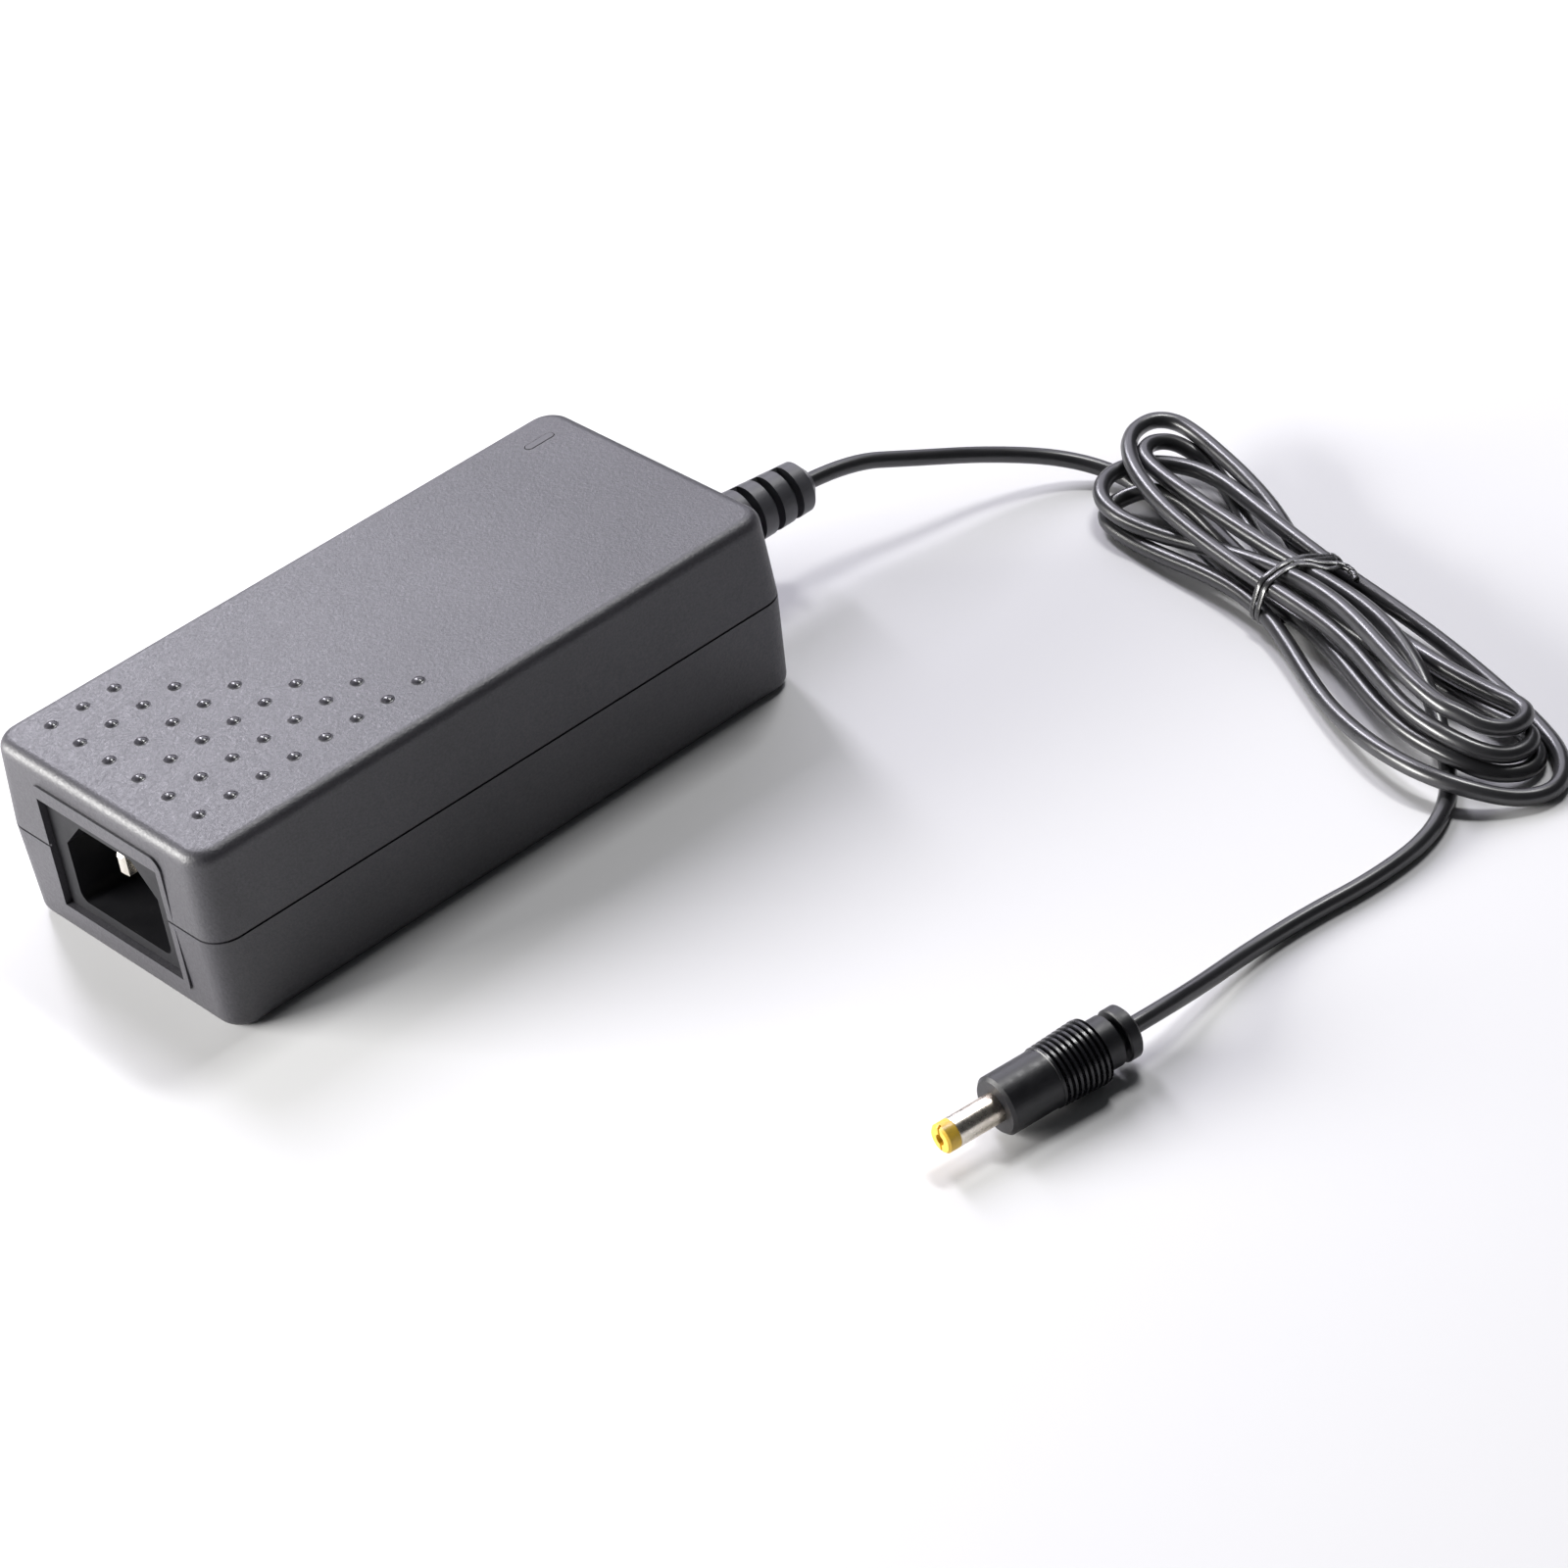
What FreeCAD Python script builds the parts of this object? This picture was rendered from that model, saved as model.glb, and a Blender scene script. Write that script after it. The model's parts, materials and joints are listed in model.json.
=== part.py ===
import FreeCAD, Part
import Sketcher
import math
import os

from FreeCAD import Placement, Rotation, Vector

# Desktop power supply: a two-shell brick with a mains inlet at its -X end, a
# segmented cord boot at its +X end, a hank of output cord and a barrel plug.
# Millimetres. Origin at the centre of the underside, +X toward the cord end,
# the long side that faces -Y is the front side, +Z up.

os.makedirs("parts", exist_ok=True)
doc = FreeCAD.newDocument("DesktopSupply")

SIZES = [
    # outer case, measured at the parting plane
    ("case_len", 119.0), ("case_wid", 57.2), ("case_hgt", 33.8), ("split_hgt", 17.7),
    ("roof_draft_len", 0.61), ("roof_draft_wid", 0.63),
    ("base_draft_len", 0.60), ("base_draft_wid", 0.73),
    ("corner_rad", 4.8), ("roof_edge_rad", 2.2), ("base_edge_rad", 2.15),
    ("wall_thk", 2.0), ("inner_corner_rad", 2.9),
    ("seam_half", 0.2), ("seam_deep", 0.4),
    ("lip_thk", 0.9), ("lip_hgt", 1.5), ("lip_play", 0.05),
    ("label_len", 78.0), ("label_wid", 40.0), ("label_deep", 0.3),
    # raised dots on the roof
    ("dot_rad", 1.2), ("dot_rise", 0.5), ("dot_first_x", -50.72), ("dot_step_x", 6.243),
    ("dot_first_y", 21.5), ("dot_step_y", 7.89),
    # indicator window
    ("window_len", 5.8), ("window_wid", 1.5), ("window_gap", 0.15),
    ("window_x", 50.2), ("window_y", 20.5), ("pipe_rad", 1.5),
    # mains inlet
    ("pad_half", 17.4), ("pad_low", 4.4), ("pad_top", 29.7), ("pad_corner", 2.4),
    ("inlet_wid", 31.7), ("inlet_hgt", 20.8), ("inlet_mid", 16.55), ("inlet_play", 0.1),
    ("inlet_sink", 1.2), ("inlet_back", 20.3), ("inlet_collar", 1.7),
    ("cavity_wid", 24.4), ("cavity_hgt", 16.4), ("cavity_deep", 16.0),
    ("cavity_chamfer", 5.2), ("cavity_rad", 1.8), ("cavity_mid", 16.3),
    ("pin_wid", 4.0), ("pin_thk", 2.0), ("pin_pitch", 14.0), ("pin_lift", 4.0),
    ("pin_front", 6.5), ("earth_front", 1.8), ("pin_tail", 4.0),
    # board and posts
    ("board_len", 110.0), ("board_wid", 50.6), ("board_thk", 1.6), ("board_low", 3.6),
    ("board_mid", -1.0), ("post_rad", 2.5), ("peg_rad", 1.2), ("peg_hole", 1.35),
    # cord, boot and plug
    ("cord_dia", 2.9), ("boot_y", -4.4), ("boot_neck", 4.2), ("boot_flange", 5.9),
    ("boot_big", 5.65), ("boot_small", 4.6), ("boot_core", 2.7), ("boot_pitch", 4.27),
    ("boot_slot", 1.53), ("boot_len", 22.6), ("boot_dome", 1.8), ("boot_web", 1.6),
    ("plug_tip", 2.2), ("plug_shown", 10.2), ("barrel_rad", 2.4), ("barrel_shank", 2.2), ("barrel_bore", 0.9),
    ("nose_rad", 4.8), ("rib_front", 9.06), ("rib_count", 9.0), ("rib_pitch", 0.98),
    ("rib_rad_front", 5.0), ("rib_rad_back", 5.37), ("neck_rad", 4.2),
    ("neck_end", 21.2), ("plug_slot", 1.15), ("plug_core", 2.7), ("flange_rad", 4.35),
    ("flange_end", 24.7), ("plug_dome", 0.9), ("plug_axis_hgt", 5.4),
    # hank and its tie
    ("hank_hgt", 9.6), ("hank_crown", 12.4), ("tie_thk", 0.6), ("tie_wid", 3.4),
]

sheet = doc.addObject("Spreadsheet::Sheet", "Sheet")
for row, (alias, number) in enumerate(SIZES, start=1):
    sheet.set("A%d" % row, alias)
    sheet.set("B%d" % row, repr(number))
    sheet.setAlias("B%d" % row, alias)
doc.recompute()
NUMBERS = dict(SIZES)


class Dim:
    """A length together with the sheet formula that gives it."""

    def __init__(self, number, formula):
        self.number = float(number)
        self.formula = formula

    def _join(self, other, sign, swap=False):
        a, b = (as_dim(other), self) if swap else (self, as_dim(other))
        result = {"+": a.number + b.number, "-": a.number - b.number,
                  "*": a.number * b.number, "/": a.number / b.number if b.number else 0.0}[sign]
        return Dim(result, "(%s %s %s)" % (a.formula, sign, b.formula))

    def __add__(self, other):
        return self._join(other, "+")

    def __radd__(self, other):
        return self._join(other, "+", True)

    def __sub__(self, other):
        return self._join(other, "-")

    def __rsub__(self, other):
        return self._join(other, "-", True)

    def __mul__(self, other):
        return self._join(other, "*")

    def __rmul__(self, other):
        return self._join(other, "*", True)

    def __truediv__(self, other):
        return self._join(other, "/")

    def __neg__(self):
        return Dim(-self.number, "(0 - %s)" % self.formula)

    def __float__(self):
        return self.number


def as_dim(value):
    return value if isinstance(value, Dim) else Dim(value, repr(float(value)))


def S(alias):
    return Dim(NUMBERS[alias], "Sheet." + alias)


def bind(obj, prop, value):
    value = as_dim(value)
    setattr(obj, prop, value.number)
    if "Sheet." in value.formula:
        obj.setExpression(prop, value.formula)


def place(obj, at=(0, 0, 0), turn=None):
    at = [as_dim(v) for v in at]
    obj.Placement = Placement(Vector(*[v.number for v in at]), turn or Rotation())
    for axis, value in zip("xyz", at):
        if "Sheet." in value.formula:
            obj.setExpression("Placement.Base." + axis, value.formula)
    return obj


TURN_TO_X = Rotation(Vector(0, 1, 0), 90)   # a cylinder's +Z becomes +X
TURN_TO_Y = Rotation(Vector(1, 0, 0), -90)  # a cylinder's +Z becomes +Y


def box(name, size, at, centred=True, turn=None):
    """Box of that size; at is the middle of its underside, or its low corner."""
    made = doc.addObject("Part::Box", name)
    for prop, value in zip(("Length", "Width", "Height"), size):
        bind(made, prop, value)
    at = [as_dim(v) for v in at]
    if centred:
        at = [at[0] - as_dim(size[0]) / 2, at[1] - as_dim(size[1]) / 2, at[2]]
    return place(made, at, turn)


def cylinder(name, radius, height, at, turn=None):
    made = doc.addObject("Part::Cylinder", name)
    bind(made, "Radius", radius)
    bind(made, "Height", height)
    return place(made, at, turn)


def cone(name, radius_low, radius_high, height, at, turn=None):
    made = doc.addObject("Part::Cone", name)
    bind(made, "Radius1", radius_low)
    bind(made, "Radius2", radius_high)
    bind(made, "Height", height)
    return place(made, at, turn)


def sphere(name, radius, at):
    made = doc.addObject("Part::Sphere", name)
    bind(made, "Radius", radius)
    return place(made, at)


def torus(name, ring, tube, at, sweep=360.0, turn=None):
    made = doc.addObject("Part::Torus", name)
    bind(made, "Radius1", ring)
    bind(made, "Radius2", tube)
    made.Angle3 = sweep
    return place(made, at, turn)


def tapered(name, low_len, low_wid, high_len, high_wid, low, high):
    """Block whose plan goes from one rectangle at low to another at high."""
    made = doc.addObject("Part::Wedge", name)
    bind(made, "Ymax", high)
    bind(made, "Ymin", low)
    for axis, side_low, side_high in (("X", low_len, high_len), ("Z", low_wid, high_wid)):
        bind(made, axis + "max", as_dim(side_low) / 2)
        bind(made, axis + "min", -(as_dim(side_low) / 2))
        bind(made, axis + "2max", as_dim(side_high) / 2)
        bind(made, axis + "2min", -(as_dim(side_high) / 2))
    made.Placement = Placement(Vector(0, 0, 0), Rotation(Vector(1, 0, 0), 90))
    return made


def cut(name, base, tool):
    made = doc.addObject("Part::Cut", name)
    made.Base, made.Tool = base, tool
    return made


def fuse(name, shapes):
    made = doc.addObject("Part::MultiFuse", name)
    made.Shapes = shapes
    made.Refine = True
    return made


def common(name, base, tool):
    made = doc.addObject("Part::Common", name)
    made.Base, made.Tool = base, tool
    return made


def rounded(name, base, pick, radius):
    """Fillet on the edges that pick() chooses, with that radius."""
    doc.recompute()
    made = doc.addObject("Part::Fillet", name)
    made.Base = base
    radius = float(radius)
    made.Edges = [(i + 1, radius, radius) for i, edge in enumerate(base.Shape.Edges) if pick(edge)]
    doc.recompute()
    return made


def chamfered(name, base, pick, size):
    doc.recompute()
    made = doc.addObject("Part::Chamfer", name)
    made.Base = base
    size = float(size)
    made.Edges = [(i + 1, size, size) for i, edge in enumerate(base.Shape.Edges) if pick(edge)]
    doc.recompute()
    return made


def upright(edge):
    a, b = edge.Vertexes[0].Point, edge.Vertexes[-1].Point
    return abs(a.z - b.z) > 0.8 * a.distanceToPoint(b) and a.distanceToPoint(b) > 0.01


def along(axis):
    def test(edge):
        a, b = edge.Vertexes[0].Point, edge.Vertexes[-1].Point
        return abs(getattr(a, axis) - getattr(b, axis)) > 0.95 * a.distanceToPoint(b) > 0.01
    return test


def at_height(height):
    def test(edge):
        box_ = edge.BoundBox
        return abs(box_.ZMin - float(height)) < 0.01 and abs(box_.ZMax - float(height)) < 0.01
    return test


NODES = []


def node(obj, label):
    obj.Label = label
    NODES.append(obj)
    return obj


# ---- sketch helpers ---------------------------------------------------------

def origin_plane(body, role):
    return next(item for item in body.Origin.OriginFeatures if item.Role == role)


def new_sketch(body, name, role):
    made = body.newObject("Sketcher::SketchObject", name)
    made.AttachmentSupport = (origin_plane(body, role), "")
    made.MapMode = "FlatFace"
    return made


def polygon(sketch, corners):
    """Closed outline whose corners are held by distances bound to the sheet."""
    corners = [(as_dim(x), as_dim(y)) for x, y in corners]
    count = len(corners)
    first = len(sketch.Geometry)
    for i in range(count):
        a, b = corners[i], corners[(i + 1) % count]
        sketch.addGeometry(Part.LineSegment(Vector(a[0].number, a[1].number, 0),
                                            Vector(b[0].number, b[1].number, 0)), False)
    for i in range(count):
        sketch.addConstraint(Sketcher.Constraint("Coincident", first + i, 2,
                                                 first + (i + 1) % count, 1))
    for i, (x, y) in enumerate(corners):
        for kind, value in (("DistanceX", x), ("DistanceY", y)):
            held = sketch.addConstraint(Sketcher.Constraint(kind, -1, 1, first + i, 1, value.number))
            if "Sheet." in value.formula:
                sketch.setExpression("Constraints[%d]" % held, value.formula)
    return sketch


# ---- case shells --------------------------------------------------------------

half_len, half_wid = S("case_len") / 2, S("case_wid") / 2
twice_wall = S("wall_thk") * 2


def shell_block(name, low, high, inset, low_extra, high_extra, radius):
    """Tapered block of the case, inset by that much on each side."""
    made = tapered(name + "_raw",
                   S("case_len") - inset * 2 - low_extra[0] * 2, S("case_wid") - inset * 2 - low_extra[1] * 2,
                   S("case_len") - inset * 2 - high_extra[0] * 2, S("case_wid") - inset * 2 - high_extra[1] * 2,
                   low, high)
    return rounded(name, made, upright, radius)


none = (as_dim(0), as_dim(0))
base_draft = (S("base_draft_len"), S("base_draft_wid"))
roof_draft = (S("roof_draft_len"), S("roof_draft_wid"))

base_outer = shell_block("BaseOuter", as_dim(0), S("split_hgt"), as_dim(0), base_draft, none, S("corner_rad"))
base_outer = rounded("BaseOuterEdge", base_outer, at_height(0), S("base_edge_rad"))
base_inner = shell_block("BaseInner", S("wall_thk"), S("split_hgt"), S("wall_thk"), base_draft, none,
                         S("inner_corner_rad"))
roof_outer = shell_block("RoofOuter", S("split_hgt"), S("case_hgt"), as_dim(0), none, roof_draft, S("corner_rad"))
roof_outer = rounded("RoofOuterEdge", roof_outer, at_height(NUMBERS["case_hgt"]), S("roof_edge_rad"))
roof_inner = shell_block("RoofInner", S("split_hgt"), S("case_hgt") - S("wall_thk"), S("wall_thk"), none,
                         roof_draft, S("inner_corner_rad"))

# groove along the parting line, half in each shell
seam_core = rounded("SeamCore", box("SeamCoreRaw", (S("case_len") - S("seam_deep") * 2,
                                                   S("case_wid") - S("seam_deep") * 2, S("seam_half") * 2),
                                    (0, 0, S("split_hgt") - S("seam_half"))),
                    upright, S("corner_rad") - S("seam_deep"))
seam_block = box("SeamBlock", (S("case_len") + 6, S("case_wid") + 6, S("seam_half") * 2),
                 (0, 0, S("split_hgt") - S("seam_half")))
seam = cut("SeamRing", seam_block, seam_core)

# tongue on the lower shell and its rebate in the upper one


def ring_block(name, inset, radius, low, height):
    raw = box(name + "Raw", (S("case_len") - inset * 2, S("case_wid") - inset * 2, height), (0, 0, low))
    return rounded(name, raw, upright, radius)


base_tongue = cut("BaseTongue",
                  ring_block("TongueOuter", S("wall_thk") - S("lip_thk"), S("corner_rad") - S("wall_thk") + S("lip_thk"),
                             S("split_hgt") - 0.3, S("lip_hgt") + 0.3),
                  ring_block("TongueInner", S("wall_thk") - 0.06, S("inner_corner_rad"), S("split_hgt") - 1, S("lip_hgt") + 2))
roof_rebate_outer = rounded("RebateBlock", box("RebateBlockRaw",
                                               (S("case_len") - (S("wall_thk") - S("lip_thk") - S("lip_play")) * 2,
                                                S("case_wid") - (S("wall_thk") - S("lip_thk") - S("lip_play")) * 2,
                                                S("lip_hgt") + S("lip_play") + 1),
                                               (0, 0, S("split_hgt") - 1)),
                            upright, S("corner_rad") - S("wall_thk") + S("lip_thk"))

# raised pad round the inlet, its opening, and the hole for the boot
opening_low = S("inlet_mid") - S("inlet_hgt") / 2 - S("inlet_play")
pad_thick = as_dim(1.9)
pad_low_raw = box("PadLowRaw", (pad_thick, S("pad_half") * 2, S("split_hgt") - S("pad_low")),
                  (-(half_len) + pad_thick / 2, 0, S("pad_low")))
pad_low = rounded("PadLow", pad_low_raw,
                  lambda e: along("x")(e) and e.BoundBox.ZMax < NUMBERS["pad_low"] + 0.1, 1.2)
pad_high_raw = box("PadHighRaw", (pad_thick, S("pad_half") * 2, S("pad_top") - S("split_hgt")),
                   (-(half_len) + pad_thick / 2, 0, S("split_hgt")))
pad_high = rounded("PadHigh", pad_high_raw,
                   lambda e: along("x")(e) and e.BoundBox.ZMin > NUMBERS["pad_top"] - 0.1, S("pad_corner"))
opening = box("InletOpening", (6.0, S("inlet_wid") + S("inlet_play") * 2, S("inlet_hgt") + S("inlet_play") * 2),
              (-(half_len) + 1, 0, opening_low))
boot_hole = cylinder("BootHole", S("boot_neck"), 8.0, (half_len - 5, S("boot_y"), S("split_hgt")), TURN_TO_X)

# board posts with pegs
POSTS = [(-50.0, 22.0), (-50.0, -22.0), (31.0, 22.4), (50.0, -18.0)]
posts = []
for i, (x, y) in enumerate(POSTS):
    posts.append(cylinder("Post%d" % i, S("post_rad"), S("board_low") - S("wall_thk") + 0.5,
                          (x, y, S("wall_thk") - 0.5)))
    posts.append(cylinder("Peg%d" % i, S("peg_rad"), S("board_thk") + 0.6, (x, y, S("board_low") - 0.2)))

label_recess = rounded("LabelRecess", box("LabelRecessRaw", (S("label_len"), S("label_wid"), S("label_deep") + 1),
                                          (0, 0, -1.0)), upright, 2.0)

base_solid = fuse("BaseSolid", [base_outer, pad_low])
base_hollow = cut("BaseHollow", base_solid, base_inner)
base_built = fuse("BaseBuilt", [base_hollow, base_tongue] + posts)
base_tools = fuse("BaseTools", [seam, opening, boot_hole, label_recess])
case_bottom = node(cut("CaseBottom", base_built, base_tools), "case_bottom")

# roof: raised dots in eight rows that step toward one side, and the window slot
DOT_ROWS = [(0, 0), (1, 0), (2, 0), (3, 1), (4, 2), (5, 3), (6, 4), (7, 5)]
ball_rad = Dim((NUMBERS["dot_rad"] ** 2 + NUMBERS["dot_rise"] ** 2) / (2 * NUMBERS["dot_rise"]),
               "((Sheet.dot_rad * Sheet.dot_rad + Sheet.dot_rise * Sheet.dot_rise) / (2 * Sheet.dot_rise))")
dots = []
for column, first in DOT_ROWS:
    for line in range(first, 6):
        dots.append(sphere("Dot%d%d" % (column, line), ball_rad,
                           (S("dot_first_x") + S("dot_step_x") * column,
                            S("dot_first_y") - S("dot_step_y") * line,
                            S("case_hgt") + S("dot_rise") - ball_rad)))
dot_balls = fuse("DotBalls", dots)
dot_layer = box("DotLayer", (S("case_len"), S("case_wid"), 1.0), (0, 0, S("case_hgt") - 0.5))
dot_caps = common("DotCaps", dot_balls, dot_layer)


def obround(name, length, width, height, at):
    """Upright slot-shaped bar with round ends along X."""
    length, width = as_dim(length), as_dim(width)
    x, y, z = [as_dim(v) for v in at]
    return fuse(name, [box(name + "Mid", (length - width, width, height), (x, y, z)),
                       cylinder(name + "A", width / 2, height, (x - (length - width) / 2, y, z)),
                       cylinder(name + "B", width / 2, height, (x + (length - width) / 2, y, z))])


window_cut = obround("WindowCut", S("window_len") + S("window_gap") * 2, S("window_wid") + S("window_gap") * 2,
                     6.0, (S("window_x"), S("window_y"), S("case_hgt") - 4))
roof_solid = fuse("RoofSolid", [roof_outer, pad_high, dot_caps])
roof_tools = fuse("RoofTools", [roof_inner, roof_rebate_outer, seam, opening, boot_hole, window_cut])
case_top = node(cut("CaseTop", roof_solid, roof_tools), "case_top")

# ---- mains inlet ----------------------------------------------------------------

face_x = -(half_len) + S("inlet_sink")
inner_wall_x = -(half_len) + S("wall_thk") + 0.55

inlet_body = doc.addObject("PartDesign::Body", "InletBody")
front_outline = new_sketch(inlet_body, "InletFront", "YZ_Plane")
polygon(front_outline, [(-(S("inlet_wid") / 2), -(S("inlet_hgt") / 2)), (S("inlet_wid") / 2, -(S("inlet_hgt") / 2)),
                        (S("inlet_wid") / 2, S("inlet_hgt") / 2), (-(S("inlet_wid") / 2), S("inlet_hgt") / 2)])
front_pad = inlet_body.newObject("PartDesign::Pad", "InletFrontPad")
front_pad.Profile = front_outline
bind(front_pad, "Length", S("inlet_back"))
back_outline = new_sketch(inlet_body, "InletCollar", "YZ_Plane")
collar = S("inlet_collar")
back_outline.AttachmentOffset = Placement(Vector(0, 0, float(inner_wall_x) - float(face_x)), Rotation())
back_outline.setExpression("AttachmentOffset.Base.z", (inner_wall_x - face_x).formula)
polygon(back_outline, [(-(S("inlet_wid") / 2) - collar, -(S("inlet_hgt") / 2) - 0.55),
                       (S("inlet_wid") / 2 + collar, -(S("inlet_hgt") / 2) - 0.55),
                       (S("inlet_wid") / 2 + collar, S("inlet_hgt") / 2 + collar),
                       (-(S("inlet_wid") / 2) - collar, S("inlet_hgt") / 2 + collar)])
back_pad = inlet_body.newObject("PartDesign::Pad", "InletCollarPad")
back_pad.Profile = back_outline
back_pad.Length = 3.0
cavity = new_sketch(inlet_body, "InletCavity", "YZ_Plane")
drop = S("cavity_mid") - S("inlet_mid")
chamfer = S("cavity_chamfer")
cavity_left, cavity_right = -(S("cavity_wid") / 2), S("cavity_wid") / 2
cavity_low, cavity_high = drop - S("cavity_hgt") / 2, drop + S("cavity_hgt") / 2
polygon(cavity, [(cavity_left, cavity_low), (cavity_right, cavity_low), (cavity_right, cavity_high - chamfer),
                 (cavity_right - chamfer, cavity_high), (cavity_left + chamfer, cavity_high),
                 (cavity_left, cavity_high - chamfer)])
cavity_pocket = inlet_body.newObject("PartDesign::Pocket", "InletCavityPocket")
cavity_pocket.Profile = cavity
bind(cavity_pocket, "Length", S("cavity_deep"))
cavity_pocket.Reversed = True
doc.recompute()
pin_slots = new_sketch(inlet_body, "InletPinSlots", "YZ_Plane")
PINS = [("line", -(S("pin_pitch") / 2), as_dim(0)), ("neutral", S("pin_pitch") / 2, as_dim(0)),
        ("earth", as_dim(0), S("pin_lift"))]
for _, y, lift in PINS:
    polygon(pin_slots, [(y - S("pin_thk") / 2, drop - 1 + lift - S("pin_wid") / 2),
                        (y + S("pin_thk") / 2, drop - 1 + lift - S("pin_wid") / 2),
                        (y + S("pin_thk") / 2, drop - 1 + lift + S("pin_wid") / 2),
                        (y - S("pin_thk") / 2, drop - 1 + lift + S("pin_wid") / 2)])
slot_pocket = inlet_body.newObject("PartDesign::Pocket", "InletPinPocket")
slot_pocket.Profile = pin_slots
slot_pocket.Type = 1
slot_pocket.Reversed = True
doc.recompute()
low_corners = [("Edge%d" % (i + 1)) for i, e in enumerate(slot_pocket.Shape.Edges)
               if along("x")(e) and abs(abs(e.BoundBox.YMin) - NUMBERS["cavity_wid"] / 2) < 0.01
               and e.BoundBox.ZMin < float(cavity_low) + 0.01]
corner_round = inlet_body.newObject("PartDesign::Fillet", "InletCornerRound")
corner_round.Base = (slot_pocket, low_corners)
bind(corner_round, "Radius", S("cavity_rad"))
place(inlet_body, (face_x, 0, S("inlet_mid")))
node(inlet_body, "inlet_housing")

for name, y, lift in PINS:
    # the earth blade stands further forward than the other two
    pin_start = face_x + (S("earth_front") if name == "earth" else S("pin_front"))
    reach = face_x + S("inlet_back") + S("pin_tail") - pin_start
    raw = box("Pin_" + name + "_raw", (reach, S("pin_thk"), S("pin_wid")),
              (pin_start + reach / 2, y, S("cavity_mid") - 1 + lift - S("pin_wid") / 2))
    tip = float(pin_start)
    node(chamfered("Pin_" + name, raw,
                   lambda e, tip=tip: e.BoundBox.XMax < tip + 0.01 and not along("x")(e), 0.5), "pin_" + name)
    node(cylinder("Lead_" + name, 0.8,
                  S("cavity_mid") - 1 + lift - S("pin_wid") / 2 - S("board_low") - S("board_thk"),
                  (face_x + S("inlet_back") + S("pin_tail") / 2, y, S("board_low") + S("board_thk"))),
         "inlet_lead_" + name)

# ---- circuit board and what stands on it ---------------------------------------

board_top = S("board_low") + S("board_thk")
board_raw = box("BoardRaw", (S("board_len"), S("board_wid"), S("board_thk")), (S("board_mid"), 0, S("board_low")))
board_corners = rounded("BoardCorners", board_raw, upright, 2.0)
peg_holes = fuse("PegHoles", [cylinder("PegHole%d" % i, S("peg_hole"), 4.0, (x, y, S("board_low") - 1))
                              for i, (x, y) in enumerate(POSTS)])
node(cut("Board", board_corners, peg_holes), "circuit_board")
node(box("InsulationSheet", (90.0, 38.0, 0.3), (0, 0, S("wall_thk"))), "insulation_sheet")

node(rounded("Fuse", cylinder("FuseRaw", 4.2, 7.8, (-30.0, 19.6, board_top)),
             at_height(float(board_top) + 7.8), 0.8), "fuse")


def disc_part(name, label, radius, thick, at, turn, legs):
    """Round coated disc on two wire legs."""
    x, y = at
    disc_mid = board_top + 1.2 + radius
    if turn is TURN_TO_X:
        disc = cylinder(name + "Disc", radius, thick, (x - thick / 2.0, y, disc_mid), turn)
        feet = [(x, y - legs / 2.0), (x, y + legs / 2.0)]
    else:
        disc = cylinder(name + "Disc", radius, thick, (x, y - thick / 2.0, disc_mid), turn)
        feet = [(x - legs / 2.0, y), (x + legs / 2.0, y)]
    wires = [cylinder(name + "Leg%d" % i, 0.4, radius + 1.2, (fx, fy, board_top)) for i, (fx, fy) in enumerate(feet)]
    return node(fuse(name, [disc] + wires), label)


disc_part("Thermistor", "thermistor", 5.2, 4.4, (-30.0, 8.6), TURN_TO_X, 5.0)
disc_part("Varistor", "varistor", 4.8, 4.4, (-30.0, -2.4), TURN_TO_X, 5.0)
disc_part("SafetyCapacitor", "y_capacitor", 4.0, 3.6, (22.0, 19.0), TURN_TO_X, 5.0)
node(rounded("FilmCapacitor", box("FilmCapacitorRaw", (8.6, 15.0, 13.0), (-30.4, -16.4, board_top)),
             upright, 0.8), "x_capacitor")

node(rounded("ChokeBase", box("ChokeBaseRaw", (20.0, 20.0, 1.5), (-14.0, 13.4, board_top)), upright, 2.0), "choke_base")
choke_mid = board_top + 1.5 + 3.85
choke_core = torus("ChokeCore", 6.4, 2.6, (-14.0, 13.4, choke_mid))
node(choke_core, "choke_core")
for side, start in (("a", -65.0), ("b", 115.0)):
    coil = torus("ChokeCoil_" + side, 6.4, 3.85, (-14.0, 13.4, choke_mid), 130.0, Rotation(Vector(0, 0, 1), start))
    bore = torus("ChokeBore_" + side, 6.4, 2.6, (-14.0, 13.4, choke_mid))
    node(cut("ChokeWinding_" + side, coil, bore), "choke_winding_" + side)

node(chamfered("BridgeRectifier", box("BridgeRaw", (4.2, 18.0, 14.0), (-18.0, -12.0, board_top)),
               lambda e: along("x")(e) and e.BoundBox.YMax < -20.9 and e.BoundBox.ZMin > 18.0, 2.2),
     "bridge_rectifier")

can = rounded("BulkCan", cylinder("BulkCanRaw", 8.9, 25.0, (5.6, 14.6, board_top)),
              at_height(float(board_top) + 25.0), 1.0)
crimp = torus("BulkCrimp", 9.3, 0.8, (5.6, 14.6, board_top + 3.2))
node(cut("BulkCapacitor", can, crimp), "bulk_capacitor")


def heatsink(name, label, x, length, height):
    plate = box(name + "Plate", (length, 2.0, height), (x, -23.4, board_top))
    fins = [box(name + "Fin%d" % i, (1.4, 2.6, height), (x + dx, -21.2, board_top))
            for i, dx in enumerate((-length / 2.0 + 0.7, length / 2.0 - 0.7))]
    body = fuse(name + "Body", [plate] + fins)
    hole = cylinder(name + "Hole", 1.5, 6.0, (x, -26.0, board_top + 17.5), TURN_TO_Y)
    return node(cut(name, body, hole), label)


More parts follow.
